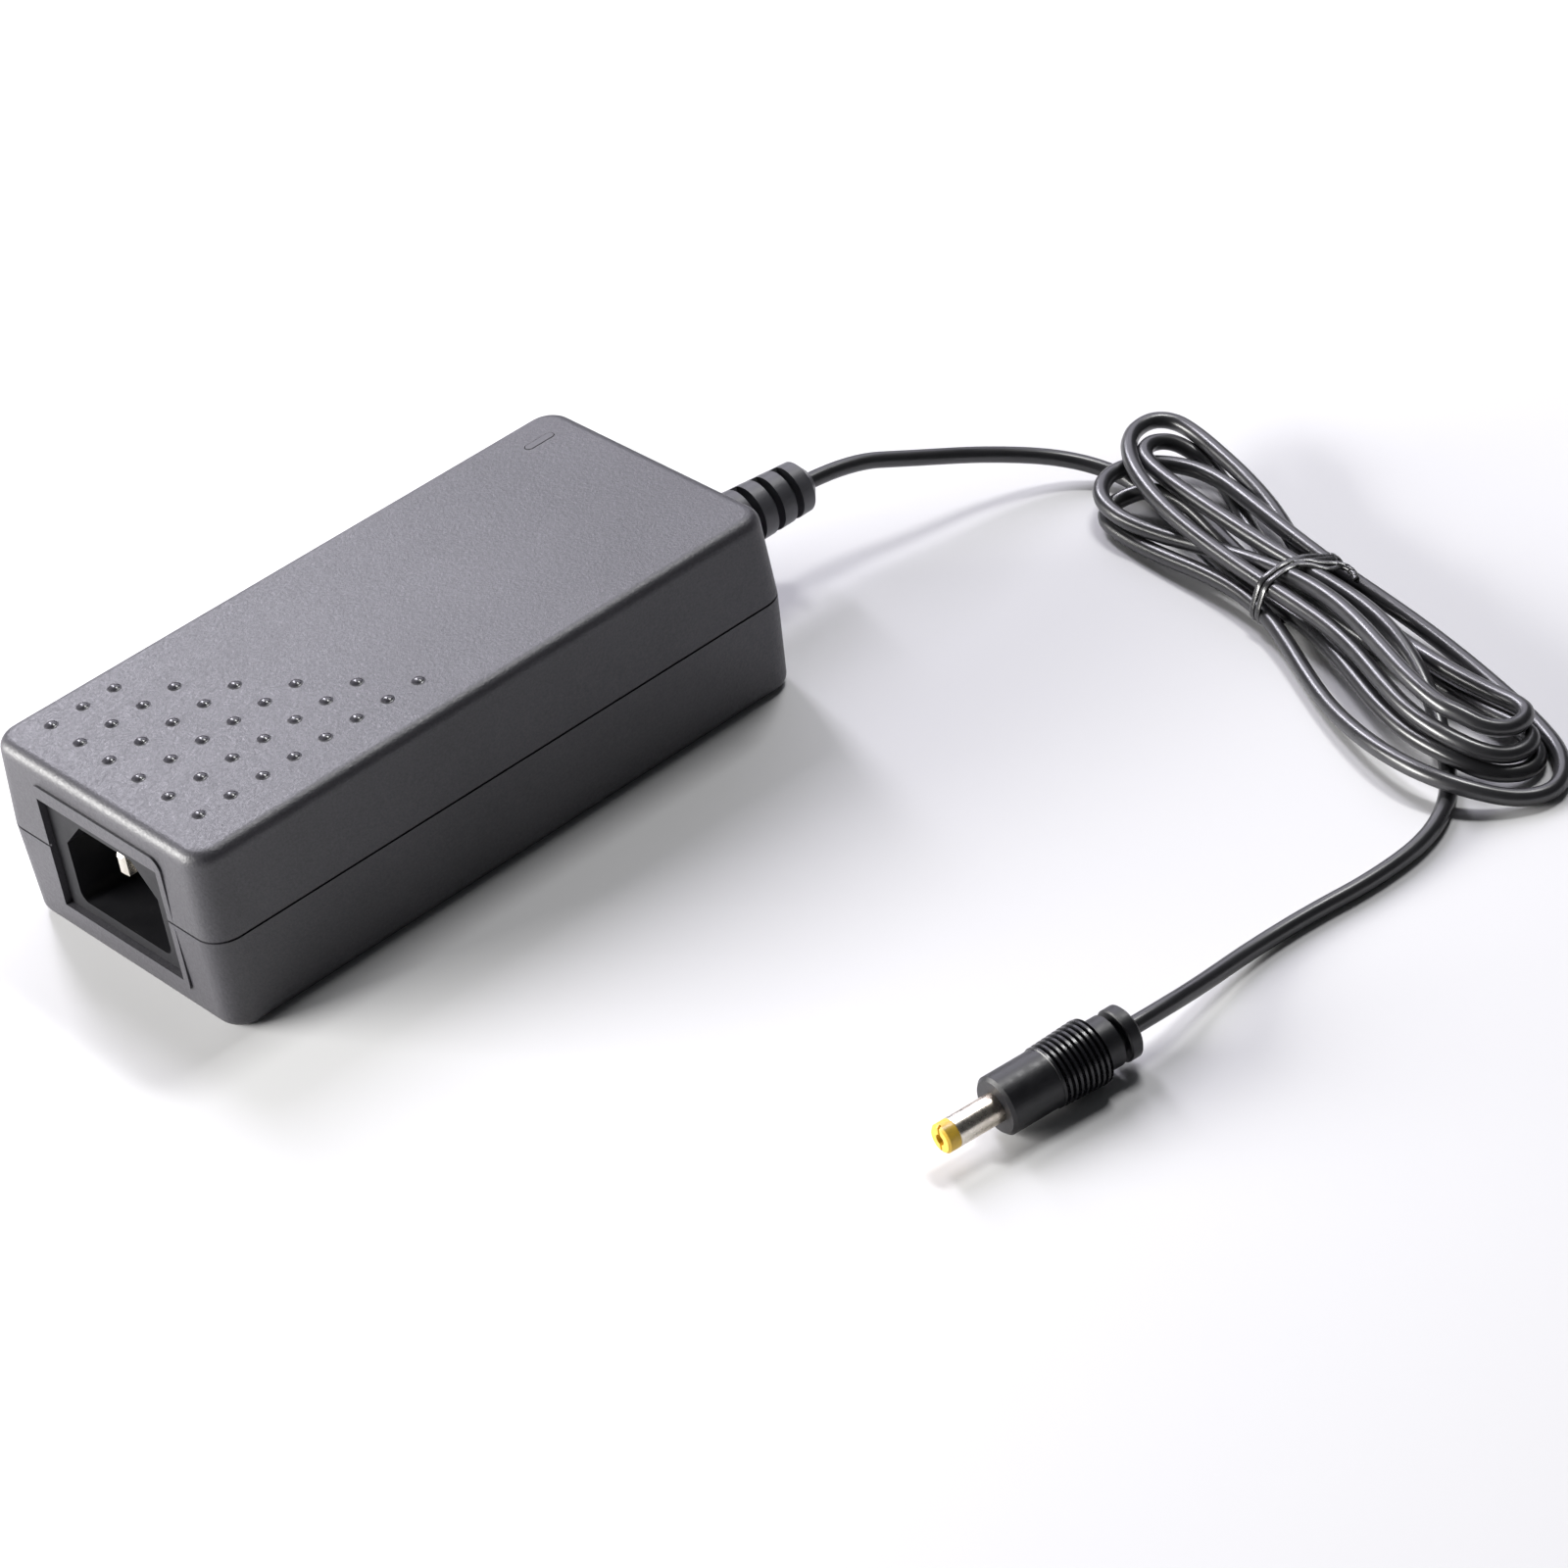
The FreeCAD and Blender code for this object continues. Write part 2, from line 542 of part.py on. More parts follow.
def flat_pack(name, label, x):
    """Moulded power part with a metal tab, flat on the plate."""
    body = box(name + "Mould", (10.0, 3.4, 10.0), (x, -20.7, board_top + 3.4))
    tab = box(name + "Tab", (10.0, 1.3, 7.0), (x, -21.75, board_top + 13.4))
    legs = [box(name + "Leg%d" % i, (0.9, 0.6, 3.6), (x + dx, -20.7, board_top)) for i, dx in enumerate((-2.54, 0, 2.54))]
    whole = fuse(name + "Whole", [body, tab] + legs)
    hole = cylinder(name + "Hole", 1.5, 6.0, (x, -24.0, board_top + 17.5), TURN_TO_Y)
    return node(cut(name, whole, hole), label)


def clamp_screw(name, label, x):
    shank = cylinder(name + "Shank", 1.5, 3.5, (x, -24.4, board_top + 17.5), TURN_TO_Y)
    head = rounded(name + "Head", cylinder(name + "HeadRaw", 2.8, 1.8, (x, -21.1, board_top + 17.5), TURN_TO_Y),
                   lambda e: e.BoundBox.YMin > -19.35, 0.5)
    return node(fuse(name, [shank, head]), label)


heatsink("PrimarySink", "primary_heatsink", 0.0, 30.0, 23.0)
flat_pack("PowerTransistor", "power_transistor", 0.0)
clamp_screw("PrimaryScrew", "primary_screw", 0.0)
heatsink("OutputSink", "output_heatsink", 35.0, 20.0, 23.0)
flat_pack("OutputRectifier", "output_rectifier", 35.0)
clamp_screw("OutputScrew", "output_screw", 35.0)

core_x, core_y = 27.0, 0.0
core_block = box("CoreBlock", (28.0, 12.0, 24.0), (core_x, core_y, board_top))
core_windows = fuse("CoreWindows", [box("CoreWindow%d" % i, (5.6, 14.0, 17.0), (core_x + dx, core_y, board_top + 3.5))
                                    for i, dx in enumerate((-7.3, 7.3))])
node(cut("TransformerCore", core_block, core_windows), "transformer_core")
coil_block = rounded("CoilBlock", box("CoilBlockRaw", (19.6, 22.0, 16.0), (core_x, core_y, board_top + 4.0)), upright, 4.0)
coil_bore = box("CoilBore", (9.0, 12.0, 18.0), (core_x, core_y, board_top + 3.0))
node(cut("TransformerWinding", coil_block, coil_bore), "transformer_winding")

for tag, x, y, radius, height in (("a", 47.0, -9.0, 5.0, 20.0), ("b", 47.0, 2.4, 5.0, 20.0), ("c", 47.4, 12.6, 4.0, 16.0)):
    node(rounded("OutputCapacitor_" + tag,
                 cylinder("OutputCapacitorRaw_" + tag, radius, height, (x, y, board_top)),
                 at_height(float(board_top) + height), 0.7), "output_capacitor_" + tag)

drum = cylinder("Drum", 4.6, 9.0, (39.5, 18.8, board_top))
waist_block = cylinder("DrumWaistBlock", 6.0, 6.0, (39.5, 18.8, board_top + 1.5))
waist_core = cylinder("DrumWaistCore", 2.4, 6.0, (39.5, 18.8, board_top + 1.5))
node(cut("DrumCore", drum, cut("DrumWaist", waist_block, waist_core)), "output_choke_core")
coil_ring = cylinder("DrumCoilRaw", 4.1, 6.0, (39.5, 18.8, board_top + 1.5))
coil_hole = cylinder("DrumCoilHole", 2.4, 8.0, (39.5, 18.8, board_top + 0.5))
node(cut("DrumCoil", coil_ring, coil_hole), "output_choke_winding")

node(chamfered("Optocoupler", box("OptocouplerRaw", (6.4, 4.6, 3.4), (17.6, -16.4, board_top)),
               at_height(float(board_top) + 3.4), 0.4), "optocoupler")
node(chamfered("ControlChip", box("ControlChipRaw", (5.0, 4.0, 1.5), (4.4, -9.0, board_top)),
               at_height(float(board_top) + 1.5), 0.3), "control_chip")

led_top = board_top + 5.0
led_body = cylinder("LedBody", 1.5, 3.5, (S("window_x"), S("window_y"), board_top))
led_dome = sphere("LedDome", 1.5, (S("window_x"), S("window_y"), board_top + 3.5))
node(fuse("IndicatorLed", [led_body, led_dome]), "indicator_led")

# light pipe: slot-shaped window at the roof, a shoulder under it, a rod to the lamp
pipe_body = doc.addObject("PartDesign::Body", "PipeBody")
pipe_profile = new_sketch(pipe_body, "PipeRod", "XY_Plane")
rod_ring = pipe_profile.addGeometry(Part.Circle(Vector(0, 0, 0), Vector(0, 0, 1), NUMBERS["pipe_rad"]), False)
pipe_profile.addConstraint(Sketcher.Constraint("Coincident", rod_ring, 3, -1, 1))
held = pipe_profile.addConstraint(Sketcher.Constraint("Radius", rod_ring, NUMBERS["pipe_rad"]))
pipe_profile.setExpression("Constraints[%d]" % held, "Sheet.pipe_rad")
rod_pad = pipe_body.newObject("PartDesign::Pad", "PipeRodPad")
rod_pad.Profile = pipe_profile
bind(rod_pad, "Length", S("case_hgt") - S("wall_thk") - 0.1 - led_top)
window_shape = new_sketch(pipe_body, "PipeWindow", "XY_Plane")
run = (S("window_len") - S("window_wid")) / 2
wide = S("window_wid") / 2
top_line = window_shape.addGeometry(Part.LineSegment(Vector(-float(run), float(wide), 0), Vector(float(run), float(wide), 0)), False)
low_line = window_shape.addGeometry(Part.LineSegment(Vector(float(run), -float(wide), 0), Vector(-float(run), -float(wide), 0)), False)
right_arc = window_shape.addGeometry(Part.ArcOfCircle(Part.Circle(Vector(float(run), 0, 0), Vector(0, 0, 1), float(wide)),
                                                      -math.pi / 2, math.pi / 2), False)
left_arc = window_shape.addGeometry(Part.ArcOfCircle(Part.Circle(Vector(-float(run), 0, 0), Vector(0, 0, 1), float(wide)),
                                                     math.pi / 2, 3 * math.pi / 2), False)
window_shape.addConstraint(Sketcher.Constraint("Tangent", right_arc, 2, top_line, 2))
window_shape.addConstraint(Sketcher.Constraint("Tangent", right_arc, 1, low_line, 1))
window_shape.addConstraint(Sketcher.Constraint("Tangent", left_arc, 1, top_line, 1))
window_shape.addConstraint(Sketcher.Constraint("Tangent", left_arc, 2, low_line, 2))
window_shape.addConstraint(Sketcher.Constraint("Horizontal", top_line))
held = window_shape.addConstraint(Sketcher.Constraint("Radius", right_arc, float(wide)))
window_shape.setExpression("Constraints[%d]" % held, wide.formula)
held = window_shape.addConstraint(Sketcher.Constraint("DistanceX", -1, 1, right_arc, 3, float(run)))
window_shape.setExpression("Constraints[%d]" % held, run.formula)
held = window_shape.addConstraint(Sketcher.Constraint("DistanceX", left_arc, 3, -1, 1, float(run)))
window_shape.setExpression("Constraints[%d]" % held, run.formula)
window_shape.addConstraint(Sketcher.Constraint("DistanceY", -1, 1, right_arc, 3, 0.0))
rise = S("case_hgt") - S("wall_thk") - 0.1 - led_top
window_shape.AttachmentOffset = Placement(Vector(0, 0, float(rise) - 1.0), Rotation())
window_shape.setExpression("AttachmentOffset.Base.z", (rise - 1).formula)
window_pad = pipe_body.newObject("PartDesign::Pad", "PipeWindowPad")
window_pad.Profile = window_shape
bind(window_pad, "Length", S("wall_thk") + 1.1 + 0.05)
place(pipe_body, (S("window_x"), S("window_y"), led_top))
node(pipe_body, "light_pipe")

# wires from the board to the boot
for tag, dy in (("pos", 1.5), ("neg", -1.5)):
    rise_wire = cylinder("OutRise_" + tag, 0.75, S("split_hgt") - board_top, (53.3, S("boot_y") + dy, board_top))
    bend = sphere("OutBend_" + tag, 0.75, (53.3, S("boot_y") + dy, S("split_hgt")))
    run_wire = cylinder("OutRun_" + tag, 0.75, half_len - S("wall_thk") - 2.4 - 53.3,
                        (53.3, S("boot_y") + dy, S("split_hgt")), TURN_TO_X)
    node(fuse("OutLead_" + tag, [rise_wire, bend, run_wire]), "output_lead_" + tag)

# ---- boot: flange inside the wall, neck through it, slotted rings outside ----------

BOOT_TILT = Rotation(Vector(0, 0, 1), -1.86).multiply(Rotation(Vector(0, 1, 0), 1.62))
boot_root = Vector(NUMBERS["case_len"] / 2, NUMBERS["boot_y"], NUMBERS["split_hgt"])


def boot_at(distance, up=0.0, side=0.0):
    return boot_root + BOOT_TILT.multVec(Vector(distance, side, up))


boot_axis_turn = BOOT_TILT.multiply(TURN_TO_X)
flange = cylinder("BootFlange", S("boot_flange"), 2.0, (half_len - S("wall_thk") - 2.4, S("boot_y"), S("split_hgt")), TURN_TO_X)
neck = cylinder("BootNeck", S("boot_neck"), S("wall_thk") + 1.2, (half_len - S("wall_thk") - 0.6, S("boot_y"), S("split_hgt")), TURN_TO_X)


def on_boot(made, distance):
    made.Placement = Placement(boot_at(distance), boot_axis_turn)
    return made


boot_cone = on_boot(cone("BootCone", S("boot_big"), S("boot_small"), S("boot_len"), (0, 0, 0)), 0.35)
boot_nose = on_boot(cone("BootNose", S("boot_small"), S("boot_small") * 0.55, S("boot_dome"), (0, 0, 0)),
                    0.35 + NUMBERS["boot_len"])
slot_discs = []
for i in range(5):
    disc = cylinder("BootDisc%d" % i, 8.0, S("boot_slot"), (0, 0, 0))
    slot_discs.append(on_boot(disc, 20.4 - NUMBERS["boot_slot"] - NUMBERS["boot_pitch"] * i))
core_rod = on_boot(cylinder("BootCore", S("boot_core"), 26.0, (0, 0, 0)), -1.0)
webs = []
for i, angle in enumerate((122.0, -75.0)):
    web = doc.addObject("Part::Box", "BootWeb%d" % i)
    bind(web, "Length", 26.0)
    bind(web, "Width", S("boot_web"))
    bind(web, "Height", 9.0)
    # the web stands off the axis at that angle, measured from -Y toward +Z
    spin = Rotation(Vector(1, 0, 0), 90.0 - angle)
    corner = BOOT_TILT.multiply(spin).multVec(Vector(-1.0, -NUMBERS["boot_web"] / 2, 0.0))
    web.Placement = Placement(boot_root + corner, BOOT_TILT.multiply(spin))
    webs.append(web)
boot_kept = fuse("BootKept", [core_rod] + webs)
boot_slots = cut("BootSlots", fuse("BootDiscs", slot_discs), boot_kept)
boot_rings = cut("BootRings", fuse("BootOuter", [boot_cone, boot_nose]), boot_slots)
cord_socket = on_boot(cylinder("BootSocket", S("cord_dia") / 2, 8.0, (0, 0, 0)), 21.0)
boot_whole = fuse("BootWhole", [flange, neck, boot_rings])
node(cut("StrainRelief", boot_whole, cord_socket), "strain_relief")

# ---- plug, built along its own +X from the tip, then laid on the floor --------------

PLUG_TURN = Rotation(Vector(0, 0, 1), -6.0)
plug_tip = Vector(-12.0, -138.0, NUMBERS["plug_axis_hgt"])
plug_place = Placement(plug_tip, PLUG_TURN)


def revolved(name, outline):
    """Body turned about its own X axis from an outline of (x, radius) points."""
    body = doc.addObject("PartDesign::Body", name)
    profile = new_sketch(body, name + "Profile", "XY_Plane")
    polygon(profile, outline)
    turn = body.newObject("PartDesign::Revolution", name + "Turn")
    turn.Profile = profile
    turn.ReferenceAxis = (profile, ["H_Axis"])
    turn.Angle = 360.0
    return body


shown = S("plug_shown")
outline = [(shown + 0.0, S("barrel_shank")), (shown + 0.0, S("nose_rad") - 0.5), (shown + 0.5, S("nose_rad"))]
start = shown + S("rib_front")
outline.append((start, S("nose_rad")))
ribs = int(NUMBERS["rib_count"])
for i in range(ribs):
    radius = S("rib_rad_front") + (S("rib_rad_back") - S("rib_rad_front")) * (i / (ribs - 1.0))
    a = start + S("rib_pitch") * i
    outline += [(a + 0.12, radius), (a + S("rib_pitch") * 0.55, radius),
                (a + S("rib_pitch") * 0.68, radius - 0.6), (a + S("rib_pitch") * 0.98, radius - 0.6)]
last_rib = start + S("rib_pitch") * ribs
neck_to = shown + S("neck_end")
slot_to = neck_to + S("plug_slot")
outline += [(last_rib + 0.1, S("rib_rad_back") - 0.1), (last_rib + 0.35, S("neck_rad")),
            (neck_to, S("neck_rad")), (neck_to, S("plug_core")), (slot_to, S("plug_core")),
            (slot_to, S("flange_rad") - 0.25), (slot_to + 0.25, S("flange_rad")),
            (shown + S("flange_end") - 0.4, S("flange_rad")),
            (shown + S("flange_end"), S("flange_rad") - 0.5),
            (shown + S("flange_end") + S("plug_dome"), S("cord_dia") / 2 + 0.7),
            (shown + S("flange_end") + S("plug_dome"), S("cord_dia") / 2),
            (shown + S("flange_end") + S("plug_dome") - 4, S("cord_dia") / 2),
            (shown + S("flange_end") + S("plug_dome") - 4, 0), (shown + 6, 0), (shown + 6, S("barrel_shank"))]
plug_body = revolved("PlugBody", outline)
plug_body.Placement = plug_place
node(plug_body, "plug_body")

# the barrel's full radius ends at the nose; a thinner shank goes on into the body
barrel = revolved("PlugBarrel", [(S("plug_tip"), S("barrel_rad") - 0.45), (S("plug_tip"), S("barrel_rad") - 0.15),
                                 (S("plug_tip") + 0.15, S("barrel_rad")), (shown, S("barrel_rad")),
                                 (shown, S("barrel_shank")), (shown + 6, S("barrel_shank")),
                                 (shown + 6, S("barrel_rad") - 0.45)])
barrel.Placement = plug_place
node(barrel, "plug_barrel")

contact_rad = S("barrel_bore") + 0.35
insulator = revolved("PlugInsulator", [(0.0, S("barrel_bore")), (0.0, S("barrel_rad") - 0.35),
                                       (0.35, S("barrel_rad")), (S("plug_tip"), S("barrel_rad")),
                                       (S("plug_tip"), S("barrel_rad") - 0.45),
                                       (shown + 6, S("barrel_rad") - 0.45), (shown + 6, contact_rad),
                                       (1.0, contact_rad), (1.0, S("barrel_bore"))])
insulator_slots = new_sketch(insulator, "PlugInsulatorSlot", "YZ_Plane")
polygon(insulator_slots, [(-0.22, -3.0), (0.22, -3.0), (0.22, 3.0), (-0.22, 3.0)])
slot_cut = insulator.newObject("PartDesign::Pocket", "PlugInsulatorSlotCut")
slot_cut.Profile = insulator_slots
slot_cut.Length = 0.6
slot_cut.Reversed = True
insulator.Placement = plug_place
node(insulator, "plug_insulator")

contact = revolved("PlugContact", [(1.0, S("barrel_bore")), (1.0, contact_rad), (shown + 6, contact_rad),
                                   (shown + 6, 0), (shown + 1, 0), (shown + 1, S("barrel_bore"))])
contact.Placement = plug_place
node(contact, "plug_contact")

# ---- cord: a lead out of the boot, the hank, and a tail to the plug ------------------

CORD_RADIUS = NUMBERS["cord_dia"] / 2
start_lead, first_bend = boot_at(21.0), boot_at(33.0)
LEAD = [(start_lead.x, start_lead.y, start_lead.z), (first_bend.x, first_bend.y, first_bend.z), (104.5, -10.2, 12.9),
        (117.0, -13.8, 8.4), (127.6, -20.4, 4.6), (132.2, -29.4, 2.1)]
end_tail = plug_place.multVec(Vector(NUMBERS["plug_shown"] + NUMBERS["flange_end"] + NUMBERS["plug_dome"] - 3.9, 0, 0))
# the last bend lies on the plug's axis, so that the cord enters the plug square
into_plug = plug_place.multVec(Vector(40.5, 0, 0))
TAIL = [(97.3, -137.2, 1.45), (87.5, -142.0, 1.45), (75.0, -142.2, 1.45), (62.5, -140.2, 1.45),
        (50.5, -139.5, 1.7), (38.5, -140.9, 3.3), (into_plug.x, into_plug.y, into_plug.z),
        (end_tail.x, end_tail.y, end_tail.z)]


def routed(points):
    """Wire of straight runs and tangent arcs through a cord's route points."""
    points = [Vector(*p) for p in points]
    edges, at, radii = [], points[0], []
    for i in range(1, len(points) - 1):
        before, corner, after = points[i - 1], points[i], points[i + 1]
        a, b = (before - corner), (after - corner)
        shorter = min(a.Length, b.Length)
        a.normalize()
        b.normalize()
        turn = math.pi - a.getAngle(b)
        trim = 0.45 * shorter
        radius = trim / math.tan(turn / 2)
        radii.append(round(radius, 1))
        enter, leave = corner + a * trim, corner + b * trim
        bisector = a + b
        bisector.normalize()
        centre = corner + bisector * math.hypot(trim, radius)
        middle = centre - bisector * radius
        edges.append(Part.LineSegment(at, enter).toShape())
        edges.append(Part.Arc(enter, middle, leave).toShape())
        at = leave
    edges.append(Part.LineSegment(at, points[-1]).toShape())
    return Part.Wire(edges), radii


for label, points in (("cord_lead", LEAD), ("cord_tail", TAIL)):
    wire, radii = routed(points)
    heading = (Vector(*points[1]) - Vector(*points[0])).normalize()
    ring = Part.Wire(Part.Circle(Vector(*points[0]), heading, CORD_RADIUS).toShape())
    tube = wire.makePipeShell([ring], True, True)
    made = doc.addObject("Part::Feature", label.title().replace("_", ""))
    made.Shape = tube
    made.Placement = Placement()
    node(made, label)
    ideal = math.pi * CORD_RADIUS ** 2 * wire.Length
    print(label, "length", round(wire.Length, 2), "volume", round(tube.Volume, 1), "ideal", round(ideal, 1), "arc radii", radii)
    if abs(tube.Volume - ideal) > 0.02 * ideal:
        raise RuntimeError(label + ": the tube's volume is wrong")

# the hank as one flat closed solid with the outline of its turns, waisted at the tie
HANK = [(122.6, -33.0), (129.5, -28.6), (137.0, -24.2), (143.0, -24.6), (147.0, -29.4), (146.2, -38.5),
        (141.0, -54.0), (136.2, -68.0), (131.6, -79.0), (131.0, -85.0), (131.2, -92.0), (129.6, -102.0), (123.8, -125.0),
        (115.6, -144.2), (109.6, -151.0), (103.6, -151.6), (98.4, -145.4), (96.0, -134.0), (97.6, -119.0),
        (103.4, -101.6), (112.8, -87.4), (113.4, -79.8), (117.6, -70.0), (117.2, -52.0), (117.8, -41.0)]
hank_body = doc.addObject("PartDesign::Body", "HankBody")
hank_outline = new_sketch(hank_body, "HankOutline", "XY_Plane")
polygon(hank_outline, HANK)
hank_pad = hank_body.newObject("PartDesign::Pad", "HankPad")
hank_pad.Profile = hank_outline
bind(hank_pad, "Length", S("hank_hgt"))
place(hank_body, (0, 0, 0.05))
# the topmost turn rides higher toward its near loop
CROWN = [(119.4, -92.6), (115.0, -91.0), (111.0, -99.0), (106.5, -110.0), (103.0, -120.5), (102.4, -128.5),
         (104.5, -134.5), (108.5, -137.0), (109.2, -131.5), (110.2, -121.5), (114.0, -111.5), (117.6, -102.0)]
crown_body = doc.addObject("PartDesign::Body", "HankCrownBody")
crown_outline = new_sketch(crown_body, "HankCrownOutline", "XY_Plane")
polygon(crown_outline, CROWN)
crown_pad = crown_body.newObject("PartDesign::Pad", "HankCrownPad")
crown_pad.Profile = crown_outline
bind(crown_pad, "Length", S("hank_crown"))
place(crown_body, (0, 0, 0.05))
hank_whole = fuse("HankWhole", [hank_body, crown_body])

# ---- tie: a flat band round the hank's waist ------------------------------------------

TIE_TURN = Rotation(Vector(0, 0, 1), -11.0)
tie_mid = Vector(121.9, -82.2, 0.0)


def tie_block(name, grow, width):
    made = doc.addObject("Part::Box", name)
    across = 16.0 + 2 * grow
    made.Length, made.Width, made.Height = across, width, NUMBERS["hank_hgt"] - 0.5 + 2 * grow
    low = 0.7 - grow
    made.Placement = Placement(tie_mid + TIE_TURN.multVec(Vector(-across / 2, -width / 2, low)), TIE_TURN)
    return rounded(name + "Round", made, along_turned, 2.6 + grow)


def along_turned(edge):
    a, b = edge.Vertexes[0].Point, edge.Vertexes[-1].Point
    line = TIE_TURN.multVec(Vector(0, 1, 0))
    return abs((b - a).dot(line)) > 0.99 * a.distanceToPoint(b) > 0.01


band_outer = tie_block("TieOuter", NUMBERS["tie_thk"], NUMBERS["tie_wid"])
band_inner = tie_block("TieInner", 0.0, NUMBERS["tie_wid"] + 2)
twist = doc.addObject("Part::Cylinder", "TieTwist")
twist.Radius, twist.Height = 1.0, 7.6
twist.Placement = Placement(Vector(125.6, -83.4, NUMBERS["hank_hgt"] + 1.1), Rotation(Vector(0, 0, 1), Vector(0.24, -1.0, 0.0)))
band = cut("TieBand", band_outer, band_inner)
node(fuse("WireTie", [band, twist]), "wire_tie")

# the hank is necked down under the band
neck_keep = tie_block("HankNeckKeep", 0.0, NUMBERS["tie_wid"] + 0.6)
neck_zone = doc.addObject("Part::Box", "HankNeckZone")
neck_zone.Length, neck_zone.Width, neck_zone.Height = 40.0, NUMBERS["tie_wid"] + 0.4, 30.0
neck_zone.Placement = Placement(tie_mid + TIE_TURN.multVec(Vector(-20.0, -(NUMBERS["tie_wid"] + 0.4) / 2, -5.0)), TIE_TURN)
neck_waste = cut("HankNeckWaste", neck_zone, neck_keep)
# the lead and the tail each end just outside it
lead_room = doc.addObject("Part::Cylinder", "HankLeadRoom")
lead_room.Radius, lead_room.Height = 2.1, 12.0
tail_room = doc.addObject("Part::Cylinder", "HankTailRoom")
tail_room.Radius, tail_room.Height = 2.1, 12.0
lead_dir = (Vector(*LEAD[-2]) - Vector(*LEAD[-1])).normalize()
tail_dir = (Vector(*TAIL[1]) - Vector(*TAIL[0])).normalize()
lead_room.Placement = Placement(Vector(*LEAD[-1]) - lead_dir * 0.2, Rotation(Vector(0, 0, 1), lead_dir))
tail_room.Placement = Placement(Vector(*TAIL[0]) - tail_dir * 0.2, Rotation(Vector(0, 0, 1), tail_dir))
hank_tools = fuse("HankTools", [neck_waste, lead_room, tail_room])
node(cut("Hank", hank_whole, hank_tools), "cord_hank")

# ---- check and write -------------------------------------------------------------------

doc.recompute()
bad = [o.Name for o in doc.Objects if "Invalid" in o.State or "Error" in o.State]
if bad:
    raise RuntimeError("objects that failed: " + ", ".join(bad))
for obj in NODES:
    shape = obj.Shape
    if shape.isNull() or not shape.isValid():
        raise RuntimeError(obj.Label + ": the shape is not valid")
    print("%-22s solids %d  volume %10.1f  box %s" % (obj.Label, len(shape.Solids), shape.Volume,
                                                      [round(v, 2) for v in (shape.BoundBox.XMin, shape.BoundBox.XMax,
                                                                             shape.BoundBox.YMin, shape.BoundBox.YMax,
                                                                             shape.BoundBox.ZMin, shape.BoundBox.ZMax)]))
for obj in NODES:
    obj.Shape.exportStep("parts/%s.step" % obj.Label)
print("cord radii", CORD_RADIUS, "nodes", len(NODES))
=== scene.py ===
"""Looks of the desktop power supply: two-shell case, cord boot, tied hank of output cord and barrel plug."""
import math

import json

import bmesh
import bpy
from mathutils import Matrix, Vector


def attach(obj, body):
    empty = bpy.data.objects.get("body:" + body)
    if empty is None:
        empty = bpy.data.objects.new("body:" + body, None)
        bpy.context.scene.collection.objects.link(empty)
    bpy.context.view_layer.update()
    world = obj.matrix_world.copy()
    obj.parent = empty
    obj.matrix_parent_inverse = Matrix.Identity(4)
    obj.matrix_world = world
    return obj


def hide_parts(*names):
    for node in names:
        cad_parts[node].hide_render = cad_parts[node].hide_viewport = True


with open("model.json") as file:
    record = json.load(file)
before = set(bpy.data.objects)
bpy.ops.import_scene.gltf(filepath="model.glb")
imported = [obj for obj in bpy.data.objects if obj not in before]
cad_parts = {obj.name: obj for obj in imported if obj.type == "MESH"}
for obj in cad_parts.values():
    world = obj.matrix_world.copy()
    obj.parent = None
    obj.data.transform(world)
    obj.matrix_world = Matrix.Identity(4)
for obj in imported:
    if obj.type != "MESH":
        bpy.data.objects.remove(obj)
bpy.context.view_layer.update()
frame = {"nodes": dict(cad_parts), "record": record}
nodes = frame["nodes"]

# ------------------------------------------------------------------ camera

cam_data = bpy.data.cameras.new("view")
cam_data.sensor_fit = "HORIZONTAL"
cam_data.sensor_width = 36.0
cam_data.lens = 123.013
cam_data.clip_start = 0.05
cam_data.clip_end = 30.0
cam = bpy.data.objects.new("view", cam_data)
bpy.context.scene.collection.objects.link(cam)
eye = (-0.37652165, -0.61687268, 0.49732079)
right = (0.73519075, -0.66205137, -0.14554227)
up = (0.47806062, 0.35418139, 0.80374964)
back = (-0.48057519, -0.66048734, 0.57689164)
cam.matrix_world = Matrix(
    (
        (right[0], up[0], back[0], eye[0]),
        (right[1], up[1], back[1], eye[1]),
        (right[2], up[2], back[2], eye[2]),
        (0.0, 0.0, 0.0, 1.0),
    )
)
bpy.context.scene.camera = cam

# -------------------------------------------------------------------- cord

